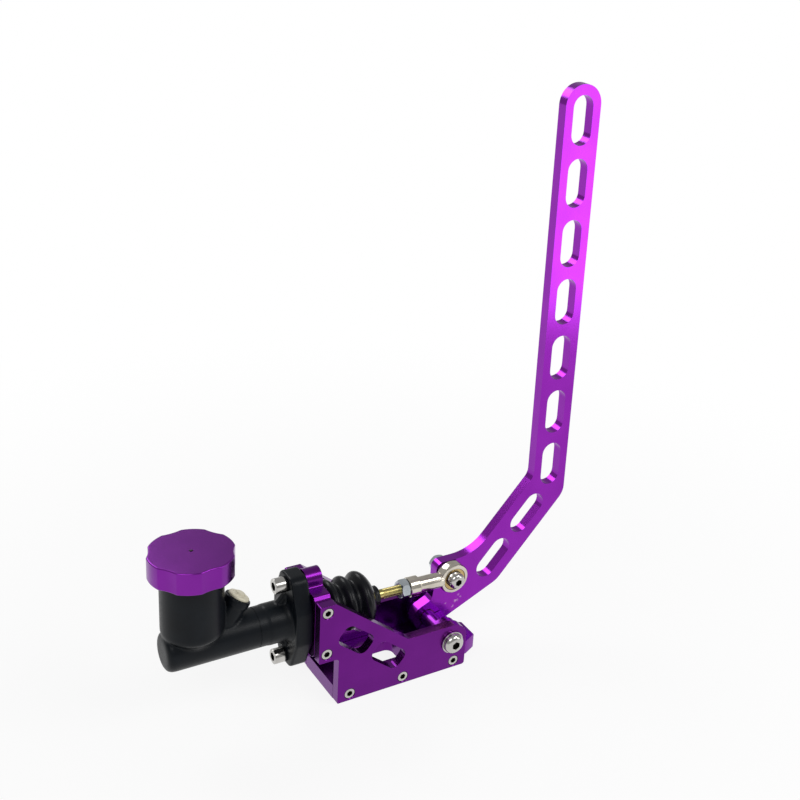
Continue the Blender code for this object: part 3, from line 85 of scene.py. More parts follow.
def put_down():
    """Leave edit mode with nothing selected."""
    if bpy.context.object and bpy.context.object.mode != "OBJECT":
        bpy.ops.object.mode_set(mode="OBJECT")
    bpy.ops.object.select_all(action="DESELECT")


def pick_up(*pieces):
    """Select just these pieces, the first one active."""
    put_down()
    for piece in pieces:
        piece.select_set(True)
    bpy.context.view_layer.objects.active = pieces[0]


def settle(piece):
    """Take the piece's place into its mesh."""
    pick_up(piece)
    bpy.ops.object.transform_apply(location=True, rotation=True, scale=True)
    return piece


def soft_edges(piece, width, segments=2, angle=40):
    """Break every edge sharper than the angle."""
    pick_up(piece)
    edge = piece.modifiers.new("broken_edge", "BEVEL")
    edge.width = width
    edge.segments = segments
    edge.limit_method = "ANGLE"
    edge.angle_limit = math.radians(angle)
    bpy.ops.object.modifier_apply(modifier=edge.name)
    return piece


def carve(piece, cutter, operation="DIFFERENCE"):
    """Cut the second piece out of the first, or join it, and put the tool away."""
    pick_up(piece)
    cut = piece.modifiers.new("cut", "BOOLEAN")
    cut.operation = operation
    cut.solver = "EXACT"
    cut.object = cutter
    bpy.ops.object.modifier_apply(modifier=cut.name)
    bpy.data.objects.remove(cutter, do_unlink=True)
    return piece


def shade(piece, angle=32):
    """Smooth what curves and keep flat faces flat."""
    pick_up(piece)
    bpy.ops.object.shade_smooth_by_angle(angle=math.radians(angle))
    even = piece.modifiers.new("flat_faces_stay_flat", "WEIGHTED_NORMAL")
    even.keep_sharp = True
    bpy.ops.object.modifier_apply(modifier=even.name)
    return piece


def lathe(name, profile, origin, axis, sides=64, ring=False):
    """Draw a circle out ring by ring; profile is (radius, distance along the axis)."""
    put_down()
    axis = Vector(axis).normalized()
    origin = Vector(origin)
    radius, along = profile[0]
    bpy.ops.mesh.primitive_circle_add(vertices=sides, radius=radius, location=origin + axis * along,
                                      rotation=axis.to_track_quat("Z", "Y").to_euler())
    piece = bpy.context.object
    piece.name = name
    bpy.ops.object.mode_set(mode="EDIT")
    bpy.ops.mesh.select_all(action="SELECT")
    for next_radius, next_along in profile[1:] + ([profile[0]] if ring else []):
        bpy.ops.mesh.extrude_region_move(
            TRANSFORM_OT_translate={"value": axis * (next_along - along)})
        grow = next_radius / radius
        bpy.ops.transform.resize(value=(grow, grow, grow),
                                 center_override=origin + axis * next_along)
        radius, along = next_radius, next_along
    if ring:
        bpy.ops.mesh.select_all(action="SELECT")
        bpy.ops.mesh.remove_doubles(threshold=0.000002)
    else:
        bpy.ops.mesh.edge_face_add()
        bpy.ops.mesh.select_all(action="DESELECT")
        bpy.ops.mesh.select_non_manifold()
        bpy.ops.mesh.edge_face_add()
    bpy.ops.mesh.select_all(action="SELECT")
    bpy.ops.mesh.normals_make_consistent(inside=False)
    bpy.ops.object.mode_set(mode="OBJECT")
    return settle(piece)


def flat_ring(name, inner, outer, thickness, origin, axis, sides=48):
    """A flat washer or spacer that starts at the origin."""
    return lathe(name, [(inner, 0.0), (outer, 0.0), (outer, thickness), (inner, thickness)],
                 origin, axis, sides, ring=True)


def rounded(corners, step=math.radians(6)):
    """Round each (x, y, radius) corner of a closed outline."""
    points = []
    for i, (x, y, radius) in enumerate(corners):
        here = Vector((x, y))
        back = Vector(corners[i - 1][:2]) - here
        ahead = Vector(corners[(i + 1) % len(corners)][:2]) - here
        turn = math.pi - back.angle(ahead)
        reach = min(radius * math.tan(turn / 2), 0.49 * back.length, 0.49 * ahead.length)
        radius = reach / math.tan(turn / 2) if turn > 0.01 else 0.0
        if radius < 0.00005:
            points.append((x, y))
            continue
        start = here + back.normalized() * reach
        towards = (back.normalized() + ahead.normalized()).normalized()
        centre = here + towards * math.hypot(reach, radius)
        arm = start - centre
        side = 1.0 if back.x * ahead.y - back.y * ahead.x < 0 else -1.0
        pieces = max(1, min(math.ceil(turn / step), int(radius * turn / 0.0003)))
        for k in range(pieces + 1):
            a = side * turn * k / pieces
            points.append((centre.x + arm.x * math.cos(a) - arm.y * math.sin(a),
                           centre.y + arm.x * math.sin(a) + arm.y * math.cos(a)))
    return points


def round_hole(x, y, radius, count=48):
    """Outline of a drilled hole."""
    return [(x + radius * math.cos(math.tau * k / count), y + radius * math.sin(math.tau * k / count))
            for k in range(count)]


def long_hole(x, y, length, width, angle, count=15):
    """Outline of a slot with round ends."""
    points = []
    for side in (1, -1):
        for k in range(count):
            a = angle + (0 if side > 0 else math.pi) - math.pi / 2 + math.pi * k / (count - 1)
            shift = side * (length - width) / 2
            points.append((x + shift * math.cos(angle) + width / 2 * math.cos(a),
                           y + shift * math.sin(angle) + width / 2 * math.sin(a)))
    return points


def cut_sheet(name, outline, holes, thickness, middle, facing, edge=0.0, segments=2):
    """Saw a flat blank to its outline; facing is Y for side pieces, X for cross pieces, or Z."""
    put_down()
    drawing = bpy.data.curves.new(name, "CURVE")
    drawing.dimensions = "2D"
    drawing.fill_mode = "BOTH"
    drawing.extrude = thickness / 2
    for loop in [outline] + list(holes):
        line = drawing.splines.new("POLY")
        line.points.add(len(loop) - 1)
        for point, (u, v) in zip(line.points, loop):
            point.co = (u, v, 0.0, 1.0)
        line.use_cyclic_u = True
    piece = bpy.data.objects.new(name, drawing)
    bpy.context.collection.objects.link(piece)
    piece.location = middle
    piece.rotation_euler = {"Y": (math.pi / 2, 0, 0), "X": (math.pi / 2, 0, math.pi / 2),
                            "Z": (0, 0, 0)}[facing]
    pick_up(piece)
    bpy.ops.object.convert(target="MESH")
    piece = bpy.context.object
    bpy.ops.object.mode_set(mode="EDIT")
    bpy.ops.mesh.select_all(action="SELECT")
    bpy.ops.mesh.remove_doubles(threshold=0.000002)
    bpy.ops.mesh.dissolve_limited(angle_limit=math.radians(0.5))
    bpy.ops.mesh.normals_make_consistent(inside=False)
    bpy.ops.object.mode_set(mode="OBJECT")
    settle(piece)
    if edge:
        soft_edges(piece, edge, segments, 50)
    return piece


def hexagon(width, turn=0.0):
    """Outline of a hexagon by its width across flats."""
    reach = width / 2 / math.cos(math.pi / 6)
    return [(reach * math.cos(turn + math.tau * k / 6), reach * math.sin(turn + math.tau * k / 6))
            for k in range(6)]


def hex_tool(width, depth, top, axis):
    """A hexagonal bit that reaches the depth down from the top."""
    put_down()
    axis = Vector(axis).normalized()
    bpy.ops.mesh.primitive_cylinder_add(vertices=6, radius=width / 2 / math.cos(math.pi / 6),
                                        depth=2 * depth, location=top,
                                        rotation=axis.to_track_quat("Z", "Y").to_euler())
    return settle(bpy.context.object)


def finished(piece, body, nodes, material, angle=32):
    """Paint the piece, stand it for its CAD nodes and let it ride."""
    shade(piece, angle)
    piece.data.materials.clear()
    piece.data.materials.append(material)
    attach(piece, body)
    if nodes:
        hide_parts(*nodes)
    return piece


# Finishes

def finish(name, colour, metallic, roughness):
    """A plain material, its nodes and its shader."""
    material = bpy.data.materials.new(name)
    material.use_nodes = True
    shader = material.node_tree.nodes["Principled BSDF"]
    shader.inputs["Base Color"].default_value = (*colour, 1.0)
    shader.inputs["Metallic"].default_value = metallic
    shader.inputs["Roughness"].default_value = roughness
    return material, material.node_tree, shader


def grain(tree, scale, stretch=(1, 1, 1), detail=6.0, turn=(0, 0, 0)):
    """Noise on object coordinates, stretched along the grain."""
    place = tree.nodes.new("ShaderNodeTexCoord")
    aim = tree.nodes.new("ShaderNodeMapping")
    aim.inputs["Scale"].default_value = stretch
    aim.inputs["Rotation"].default_value = turn
    noise = tree.nodes.new("ShaderNodeTexNoise")
    noise.inputs["Scale"].default_value = scale
    noise.inputs["Detail"].default_value = detail
    tree.links.new(place.outputs["Object"], aim.inputs["Vector"])
    tree.links.new(aim.outputs["Vector"], noise.inputs["Vector"])
    return noise.outputs["Fac"]


def spread(tree, value, low, high, at_low=0.3, at_high=0.7):
    """Map noise between two numbers."""
    ramp = tree.nodes.new("ShaderNodeMapRange")
    ramp.inputs["From Min"].default_value = at_low
    ramp.inputs["From Max"].default_value = at_high
    ramp.inputs["To Min"].default_value = low
    ramp.inputs["To Max"].default_value = high
    tree.links.new(value, ramp.inputs["Value"])
    return ramp.outputs["Result"]


def tint(tree, value, dark, light, at_low=0.3, at_high=0.7):
    """Colour that runs from dark to light with the noise."""
    ramp = tree.nodes.new("ShaderNodeValToRGB")
    ramp.color_ramp.elements[0].position = at_low
    ramp.color_ramp.elements[1].position = at_high
    ramp.color_ramp.elements[0].color = (*dark, 1.0)
    ramp.color_ramp.elements[1].color = (*light, 1.0)
    tree.links.new(value, ramp.inputs["Fac"])
    return ramp.outputs["Color"]


def reckon(tree, operation, *values):
    """A math node on sockets and numbers."""
    node = tree.nodes.new("ShaderNodeMath")
    node.operation = operation
    for value, socket in zip(values, node.inputs):
        if isinstance(value, float):
            socket.default_value = value
        else:
            tree.links.new(value, socket)
    return node.outputs[0]


def choose(tree, share, first, second, result):
    """Mix two shaders into the result."""
    mixed = tree.nodes.new("ShaderNodeMixShader")
    tree.links.new(share, mixed.inputs["Fac"])
    tree.links.new(first, mixed.inputs[1])
    tree.links.new(second, mixed.inputs[2])
    tree.links.new(mixed.outputs[0], result)


def relief(tree, shader, value, strength, distance):
    """Fine bumps from the noise."""
    bump = tree.nodes.new("ShaderNodeBump")
    bump.inputs["Strength"].default_value = strength
    bump.inputs["Distance"].default_value = distance
    tree.links.new(value, bump.inputs["Height"])
    tree.links.new(bump.outputs["Normal"], shader.inputs["Normal"])


def anodised(name, dark, light, roughness, along):
    """Dyed aluminium: a satin dye layer over fine rolling lines."""
    material, tree, shader = finish(name, light, 0.96, roughness)
    cloud = grain(tree, 38.0, detail=4.0)
    lines = grain(tree, 900.0, stretch=along, detail=3.0)
    tree.links.new(tint(tree, cloud, dark, light, 0.25, 0.75), shader.inputs["Base Color"])
    tree.links.new(spread(tree, lines, roughness - 0.01, roughness + 0.02), shader.inputs["Roughness"])
    relief(tree, shader, lines, 0.015, 0.00002)
    shader.inputs["Coat Weight"].default_value = 0.08
    shader.inputs["Coat Roughness"].default_value = 0.2
    return material


def cast_black(name):
    """Satin black coat over a fine sand-cast skin."""
    material, tree, shader = finish(name, (0.005, 0.006, 0.009), 0.0, 0.34)
    sand = grain(tree, 1400.0, detail=3.0)
    cloud = grain(tree, 60.0, detail=3.0)
    tree.links.new(tint(tree, cloud, (0.0022, 0.0035, 0.0056), (0.0048, 0.0070, 0.0100)),
                   shader.inputs["Base Color"])
    tree.links.new(spread(tree, sand, 0.28, 0.44), shader.inputs["Roughness"])
    relief(tree, shader, sand, 0.2, 0.00005)
    shader.inputs["Specular IOR Level"].default_value = 0.16
    return material


def bright_metal(name, dark, light, roughness, scale=700.0, along=(1, 1, 1)):
    """Plated or turned steel with fine tool lines and a faint bloom."""
    material, tree, shader = finish(name, light, 1.0, roughness)
    lines = grain(tree, scale, stretch=along, detail=4.0)
    bloom = grain(tree, 120.0, detail=3.0)
    tree.links.new(tint(tree, bloom, dark, light), shader.inputs["Base Color"])
    tree.links.new(spread(tree, lines, roughness * 0.85, roughness * 1.2), shader.inputs["Roughness"])
    relief(tree, shader, lines, 0.02, 0.00001)
    return material


def moulded(name, dark, light, roughness, bump=0.2, shine=0.25):
    """Rubber or plastic with the mould's fine texture."""
    material, tree, shader = finish(name, light, 0.0, roughness)
    skin = grain(tree, 1100.0, detail=3.0)
    dust = grain(tree, 90.0, detail=5.0)
    tree.links.new(tint(tree, dust, dark, light), shader.inputs["Base Color"])
    tree.links.new(spread(tree, skin, roughness - 0.07, roughness + 0.1), shader.inputs["Roughness"])
    relief(tree, shader, skin, bump, 0.00006)
    shader.inputs["Specular IOR Level"].default_value = shine
    return material


def scuff(material, places):
    """Rub the dye off in small streaky patches."""
    tree = material.node_tree
    shader = tree.nodes["Principled BSDF"]
    clean = shader.inputs["Base Color"].links[0].from_socket
    marks = spread(tree, grain(tree, 420.0, detail=6.0), 0.0, 0.75, 0.50, 0.60)
    worn = None
    for x, z, reach in places:
        where = tree.nodes.new("ShaderNodeTexCoord")
        away = tree.nodes.new("ShaderNodeVectorMath")
        away.operation = "DISTANCE"
        away.inputs[1].default_value = (x, LEVER_NEAR, z)
        tree.links.new(where.outputs["Object"], away.inputs[0])
        patch = spread(tree, away.outputs["Value"], 1.0, 0.0, reach * 0.35, reach)
        worn = patch if worn is None else reckon(tree, "MAXIMUM", worn, patch)
    rubbed = tree.nodes.new("ShaderNodeMix")
    rubbed.data_type = "RGBA"
    factor, clean_colour, bare_colour, result = (rubbed.inputs[0], rubbed.inputs[6], rubbed.inputs[7],
                                                 rubbed.outputs[2])
    bare_colour.default_value = (0.62, 0.34, 0.62, 1.0)
    tree.links.new(reckon(tree, "MULTIPLY", worn, marks), factor)
    tree.links.new(clean, clean_colour)
    tree.links.new(result, shader.inputs["Base Color"])


PURPLE_PLATE = anodised("purple_anodised_plate", (0.125, 0.0060, 0.190), (0.150, 0.0082, 0.225), 0.24,
                        (0.06, 1.0, 1.0))
PURPLE_LEVER = anodised("purple_anodised_lever", (0.25, 0.0125, 0.385), (0.29, 0.0172, 0.44), 0.2,
                        (1.0, 1.0, 0.05))
PURPLE_TURNED = anodised("purple_anodised_turned", (0.185, 0.0145, 0.285), (0.220, 0.020, 0.330), 0.22,
                         (1.0, 1.0, 0.4))
scuff(PURPLE_LEVER, SCUFFS)
CAST_BLACK = cast_black("satin_black_casting")
STAINLESS = bright_metal("stainless_steel", (0.46, 0.45, 0.43), (0.58, 0.565, 0.54), 0.16)
ZINC = bright_metal("bright_zinc_plate", (0.52, 0.57, 0.61), (0.68, 0.73, 0.77), 0.18)
GOLD_ZINC = bright_metal("yellow_zinc_plate", (0.34, 0.31, 0.11), (0.54, 0.44, 0.17), 0.24)
NICKEL = bright_metal("nickel_plate", (0.55, 0.51, 0.44), (0.68, 0.63, 0.55), 0.14)
BRASS = bright_metal("brass_liner", (0.42, 0.29, 0.12), (0.58, 0.43, 0.20), 0.24)
ALLOY = bright_metal("machined_alloy", (0.50, 0.50, 0.52), (0.66, 0.66, 0.68), 0.3)
# Dark steel painted into sockets and holes as their shade
PAINTED_SHADE_STEEL = bright_metal("painted_shade_socket_steel", (0.030, 0.028, 0.027), (0.075, 0.070, 0.065), 0.3)
BLACK_STEEL = bright_metal("black_oxide_steel", (0.012, 0.013, 0.016), (0.024, 0.026, 0.03), 0.4)
RUBBER = moulded("black_rubber", (0.0030, 0.0034, 0.0050), (0.0062, 0.0068, 0.0094), 0.26, 0.03, 0.2)
CREAM = moulded("cream_plastic", (0.66, 0.62, 0.47), (0.74, 0.70, 0.55), 0.42, 0.1, 0.4)

# Bracket
SLOPE = math.atan2(PLATE_TOP - SHELF_TOP, SHELF_START - MOUNT_REAR)
DOWN_SLOPE = Vector((math.cos(SLOPE), -math.sin(SLOPE)))
INTO_SLOPE = Vector((-math.sin(SLOPE), -math.cos(SLOPE)))
WINDOW_FIRST = 0.0369
WINDOW_PITCH = 0.0368
WINDOW_INSET = 0.01785
WINDOW_HALF = (0.0150, 0.00865)
WINDOW_R = 0.006


def cheek(name, side, node):
    """Side plate: sloping top, two windows along the slope, five counterbored screws."""
    outline = rounded([(MOUNT_FRONT, PLATE_TOP, 0.0012), (MOUNT_REAR, PLATE_TOP, 0.0012),
                       (SHELF_START, SHELF_TOP, 0.003), (BASE_HALF, SHELF_TOP, 0.013),
                       (BASE_HALF, 0.0, 0.0022), (-BASE_HALF, 0.0, 0.0008), (-BASE_HALF, STEP_Z, 0.003),
                       (MOUNT_FRONT, STEP_Z, 0.0015)])
    windows = []
    for k in range(2):
        spot = (Vector((MOUNT_REAR, PLATE_TOP)) + DOWN_SLOPE * (WINDOW_FIRST + WINDOW_PITCH * k)
                + INTO_SLOPE * WINDOW_INSET)
        corners = []
        for su, sv in ((-1, 1), (1, 1), (1, -1), (-1, -1)):
            corner = spot + DOWN_SLOPE * (su * WINDOW_HALF[0]) - INTO_SLOPE * (sv * WINDOW_HALF[1])
            corners.append((corner.x, corner.y, WINDOW_R))
        windows.append(rounded(corners))
    windows.append(round_hole(HINGE.x, HINGE.z, 0.0053))
    plate = cut_sheet(name, outline, windows, CHEEK_OUT - CHEEK_IN,
                      (0, side * (CHEEK_IN + CHEEK_OUT) / 2, 0), "Y", 0.0007, 3)
    out = Y * side
    for x, z in CHEEK_SCREWS:
        face = Vector((x, side * CHEEK_OUT, z))
        carve(plate, lathe("counterbore", [(0.0028, -0.009), (0.0028, -COUNTERBORE), (0.00455, -COUNTERBORE),
                                           (0.00455, -0.0003), (0.0050, 0.0002), (0.0050, 0.001)],
                           face, out, 40))
    return finished(plate, "bracket", [node], PURPLE_PLATE)


cheek("near_cheek", -1, "side_plate_near")
cheek("far_cheek", 1, "side_plate_far")

slab_side = 0.0232
slab_holes = [round_hole(x, y, 0.00425) for x in (-0.038, 0.022) for y in (-0.0135, 0.0135)]
slab_holes.append(rounded([(x, y, 0.006) for x, y in ((-0.0265, -0.0132), (0.0125, -0.0132), (0.0125, 0.0132),
                                                      (-0.0265, 0.0132))]))
slab = cut_sheet("base_slab", [(-BASE_HALF, -slab_side), (BASE_HALF, -slab_side), (BASE_HALF, slab_side),
                               (-BASE_HALF, slab_side)], slab_holes, 0.012, (0, 0, 0.006), "Z", 0.0004)
finished(slab, "bracket", ["base_plate"], PURPLE_PLATE)


def mount_outline():
    """Cross plate with a round head over each flange bolt."""
    half_head = [(0.0079 * math.cos(math.pi * k / 30), BOLT_HALF + 0.0079 * math.sin(math.pi * k / 30), 0.0)
                 for k in range(31)]
    right = [(0.0232, 0.0235, 0.0006), (0.0217, 0.0237, 0.0012), (0.0195, 0.0265, 0.0025),
             (0.0079, 0.0267, 0.0035)]
    upper = right + half_head + [(-y, z, r) for y, z, r in reversed(right)]
    return rounded(upper + [(-y, -z, r) for y, z, r in upper])


mount = cut_sheet("cylinder_mount", mount_outline(),
                  [round_hole(0, 0, 0.0153, 72), round_hole(0, BOLT_HALF, 0.0043),
                   round_hole(0, -BOLT_HALF, 0.0043)],
                  MOUNT_REAR - MOUNT_FRONT, ((MOUNT_FRONT + MOUNT_REAR) / 2, 0, BORE_Z), "X", 0.0007, 3)
finished(mount, "bracket", ["mount_plate"], PURPLE_PLATE)


def socket_head(name, origin, axis, head_r, head_h, shank_r, length, key, key_depth, edge, sides=64):
    """Cap screw: turned head and shank with a hexagon socket."""
    screw = lathe(name, [(head_r, 0.0), (head_r, head_h - edge), (head_r - edge * 0.3, head_h - edge * 0.3),
                         (head_r - edge, head_h)], origin, axis, sides)
    carve(screw, hex_tool(key, key_depth, Vector(origin) + Vector(axis) * head_h, axis))
    soft_edges(screw, 0.00018, 2, 50)
    shank = lathe(name + "_shank", [(shank_r, -0.00001), (shank_r, -length + shank_r * 0.3),
                                    (shank_r * 0.7, -length)], origin, axis, 32)
    pick_up(screw, shank)
    bpy.ops.object.join()
    return screw


def paint_socket_shade(piece, top, axis, width, depth):
    """Painted shade: the faces inside a hexagon socket get a dark steel that stands in for the recess's
    shade.
    """
    piece.data.materials.append(PAINTED_SHADE_STEEL)
    top, axis = Vector(top), Vector(axis)
    for face in piece.data.polygons:
        way = face.center - top
        sunk = -way.dot(axis)
        if 0.00002 < sunk < depth + 0.0002 and (way + axis * sunk).length < width * 0.585:
            face.material_index = 1
    return piece


def copy_of(piece, name, shift=(0, 0, 0), turn=None):
    """A copy with its own mesh, moved or turned into its place."""
    copy = piece.copy()
    copy.data = piece.data.copy()
    copy.name = name
    bpy.context.collection.objects.link(copy)
    copy.data.transform(Matrix.Translation(shift) @ (turn or Matrix.Identity(4)))
    return copy


pattern = socket_head("cheek_screw_pattern", (0, -CHEEK_OUT + COUNTERBORE - 0.00015, 0), -Y, 0.00425, 0.005,
                      0.0025, 0.010, 0.004, 0.0025, 0.0005)
for side, word in ((-1, "near"), (1, "far")):
    for k, (x, z) in enumerate(CHEEK_SCREWS):
        turn = Matrix.Rotation(SCREW_TURN * k + (0 if side < 0 else 0.9), 4, "Y")
        if side > 0:
            turn = Matrix.Rotation(math.pi, 4, "Z") @ turn
        screw = copy_of(pattern, f"cheek_screw_{word}_{k + 1}", (x, 0, z), turn)
        finished(screw, "bracket", [f"plate_screw_{word}_{k + 1}"], STAINLESS)
        paint_socket_shade(screw, (x, side * (CHEEK_OUT - 0.00025), z), Y * side, 0.004, 0.0025)
bpy.data.objects.remove(pattern, do_unlink=True)

# Master cylinder casting
barrel = lathe("master_cylinder",
               [(0.0089, -0.1810), (0.0120, -0.1806), (0.0140, -0.1793), (0.0151, -0.1772), (0.0154, -0.1745),
                (0.0154, -0.1044), (0.0158, -0.1040), (0.0158, -0.0911), (0.0166, -0.0883),
                (0.0183, -0.0867), (0.0195, -0.0841), (0.0195, -0.0746), (0.0187, FLANGE_REAR)],
               (0, 0, BORE_Z), X, 96)
upper = [(0.0212, 0.0125, 0.010), (0.0102, 0.0385, 0.0075), (-0.0102, 0.0385, 0.0075),
         (-0.0212, 0.0125, 0.010)]
ears = rounded(upper + [(-y, -z, r) for y, z, r in upper])
flange = cut_sheet("flange_ears", ears, [], FLANGE_REAR - FLANGE_FRONT,
                   ((FLANGE_FRONT + FLANGE_REAR) / 2, 0, BORE_Z), "X", 0.0012)
cup = lathe("reservoir_cup",
            [(0.0124, BORE_Z + 0.001), (0.0160, BORE_Z + 0.0055), (0.0188, BORE_Z + 0.0098),
             (0.0210, BORE_Z + 0.0117), (0.0222, BORE_Z + 0.0136), (0.0226, BORE_Z + 0.0162),
             (0.0226, 0.1251), (0.0252, 0.1275), (0.0252, 0.1390), (0.0247, 0.1395)],
            (CUP_X, 0, 0), Z, 96)
boss_reach = (PORT.z - BORE_Z) / math.cos(PORT_LEAN)
boss = lathe("port_boss", [(0.0092, -boss_reach + 0.004), (0.0092, -0.0066), (0.0101, -0.0055),
                           (0.0101, -0.0003), (0.0098, 0.0)], PORT, PORT_DIR, 64)
casting = barrel
for part in (flange, cup, boss):
    carve(casting, part, "UNION")
for side in (1, -1):
    rib = cut_sheet("flange_rib", [(FLANGE_REAR - 0.003, side * 0.010), (FLANGE_REAR - 0.003, side * 0.0231),
                                   (FLANGE_FRONT - 0.0015, side * 0.0231),
                                   (FLANGE_FRONT - 0.0095, side * 0.0135),
                                   (FLANGE_FRONT - 0.0095, side * 0.010)],
                    [], 0.006, (0, 0, BORE_Z), "Y", 0.0)
    carve(casting, rib, "UNION")
pick_up(casting)
skin = casting.modifiers.new("cast_skin", "REMESH")
skin.mode = "VOXEL"
skin.voxel_size = 0.0008
bpy.ops.object.modifier_apply(modifier=skin.name)
ease = casting.modifiers.new("cast_fillets", "SMOOTH")
ease.factor = 0.5
ease.iterations = 5
bpy.ops.object.modifier_apply(modifier=ease.name)
spigot = lathe("spigot", [(0.0150, FLANGE_REAR - 0.004), (0.0150, MOUNT_REAR), (0.0140, MOUNT_REAR),
                          (0.0140, -0.0566), (0.0150, -0.0566), (0.0150, -0.0534), (0.0144, -0.0528)],
               (0, 0, BORE_Z), X, 96)
carve(casting, spigot, "UNION")
carve(casting, lathe("bore", [(0.0040, -0.168), (0.0040, -0.160), (0.0095, -0.160), (0.0095, -0.0569),
                              (0.0107, -0.0569), (0.0107, -0.0551), (0.0095, -0.0551), (0.0095, -0.050)],
                     (0, 0, BORE_Z), X, 64))
carve(casting, lathe("cup_space", [(0.0170, 0.0865), (0.0200, 0.0895), (0.0200, 0.1248), (0.0218, 0.1273),
                                   (0.0218, 0.1410)], (CUP_X, 0, 0), Z, 72))
carve(casting, lathe("port_thread", [(0.0025, -boss_reach), (0.0025, -0.013), (0.0050, -0.011),
                                     (0.0050, -0.0005), (0.0085, -0.0005), (0.0085, 0.002)],
                     PORT, PORT_DIR, 48))
carve(casting, lathe("barrel_line", [(0.0150, -0.11225), (0.0170, -0.11225), (0.0170, -0.11175),
                                     (0.0150, -0.11175)], (0, 0, BORE_Z), X, 96, ring=True))
for side in (1, -1):
    carve(casting, lathe("bolt_hole", [(0.0043, FLANGE_FRONT - 0.010), (0.0043, FLANGE_REAR + 0.002)],
                         (0, 0, BORE_Z + side * BOLT_HALF), X, 40))
finished(casting, "bracket", ["cylinder_body"], CAST_BLACK, 40)

for side, word in ((1, "upper"), (-1, "lower")):
    spot = Vector((0, 0, BORE_Z + side * BOLT_HALF))
    washer = flat_ring(f"lock_ring_{word}", 0.0043, 0.0060, 0.001, spot + X * (FLANGE_FRONT - 0.0013), X)
    soft_edges(washer, 0.0002)
    finished(washer, "bracket", [f"flange_washer_{word}"], BLACK_STEEL)
    bolt = socket_head(f"flange_screw_{word}", spot + X * (FLANGE_FRONT - 0.0016), -X, 0.006, 0.008, 0.004,
                       0.0279, 0.006, 0.004, 0.0007)
    finished(bolt, "bracket", [f"flange_bolt_{word}"], STAINLESS)
    paint_socket_shade(bolt, spot + X * (FLANGE_FRONT - 0.0096), -X, 0.006, 0.004)

# Reservoir lid with six shallow finger scallops
LID_R = 0.0307
SCALLOP_DEPTH = 0.0017
SCALLOP_HALF = math.radians(14.0)
lid_line = []
for k in range(360):
    a = math.tau * k / 360
    offset = (a - math.radians(7.0)) % (math.tau / 6) - math.tau / 12
    dip = SCALLOP_DEPTH * (1 - (offset / SCALLOP_HALF) ** 2) if abs(offset) < SCALLOP_HALF else 0.0
    lid_line.append(((LID_R - dip) * math.cos(a), (LID_R - dip) * math.sin(a)))
lid = cut_sheet("filler_lid", lid_line, [], 0.0175, (CUP_X, 0, 0.13675), "Z", 0.0009, 5)
carve(lid, lathe("lid_space", [(0.0255, 0.127), (0.0255, 0.1416)], (CUP_X, 0, 0), Z, 96))
carve(lid, lathe("lid_vent", [(0.0010, 0.140), (0.0010, 0.1449), (0.0016, 0.1458)], (CUP_X, 0, 0), Z, 24))
finished(lid, "filler_cap", ["reservoir_cap"], PURPLE_TURNED, 20)
# The vent hole's inside gets the same painted shade of dark steel
paint_socket_shade(lid, (CUP_X, 0, 0.1455), Z, 0.0029, 0.0045)

plug = lathe("outlet_plug", [(0.0042, -0.010), (0.0047, -0.0006), (0.0047, -0.0002), (0.0079, -0.0002),
                             (0.0082, 0.0001), (0.0082, 0.0012), (0.0077, 0.0018), (0.0041, 0.0020),
                             (0.0038, 0.0024), (0.0036, 0.0035), (0.0032, 0.0038)], PORT, PORT_DIR, 64)
soft_edges(plug, 0.0002, 2, 30)
finished(plug, "plug", ["port_plug"], CREAM)

# Rubber boot with three folds
FOLD = 0.0126
CONE_L = 0.0125
BOOT_WALL = 0.0014
fold_start = -0.0572
folds = []
for k in range(61):
    part = 2.5 * k / 60
    swell = 0.0014 * max(0.0, part - 1.5)
    wave = math.cos(math.tau * part)
    folds.append((0.01915 - 0.00235 * (wave + 0.12 * math.cos(2 * math.tau * part) - 0.12) + swell,
                  fold_start + FOLD * part))
cone_r, cone_x = folds[-1]
cone_end = cone_x + CONE_L
for share, along in ((0.997, 0.06), (0.985, 0.16), (0.945, 0.28), (0.87, 0.42), (0.76, 0.56), (0.62, 0.70),
                     (0.50, 0.82)):
    folds.append((cone_r * share, cone_x + CONE_L * along))
lining = [(max(r - BOOT_WALL, 0.0153 if x < -0.0518 else 0.0045), x - (BOOT_WALL if x > cone_x else 0.0))
          for r, x in folds]
neck = [(0.0089, cone_end - 0.0012), (0.0083, cone_end - 0.0004), (0.0081, cone_end + 0.0012),
        (0.0081, cone_end + 0.0031), (0.0077, cone_end + 0.0035)]
profile = [(0.0143, -0.0602), (0.0168, -0.0602), (0.0172, -0.0598)] + folds + neck
profile += [(0.0045, cone_end + 0.0035), (0.0045, cone_end)] + list(reversed(lining))
profile += [(0.0143, fold_start - 0.0006)]
boot = lathe("gaiter", profile, (0, 0, BORE_Z), X, 96, ring=True)
# Its far end leans down onto the rod's line
slope = math.tan(math.atan2(ROD_SEAT.z - EYE.z, EYE.x - ROD_SEAT.x))
for vert in boot.data.vertices:
    share = min(max((vert.co.x - fold_start) / (cone_x - fold_start), 0.0), 1.0)
    vert.co.z -= share * (vert.co.x - ROD_SEAT.x) * slope
finished(boot, "bracket", ["dust_boot"], RUBBER, 50)
# At the end of the pull the rod's line has gone 12.72 mm forward and 0.95 mm up at the boot's neck
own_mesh(boot)

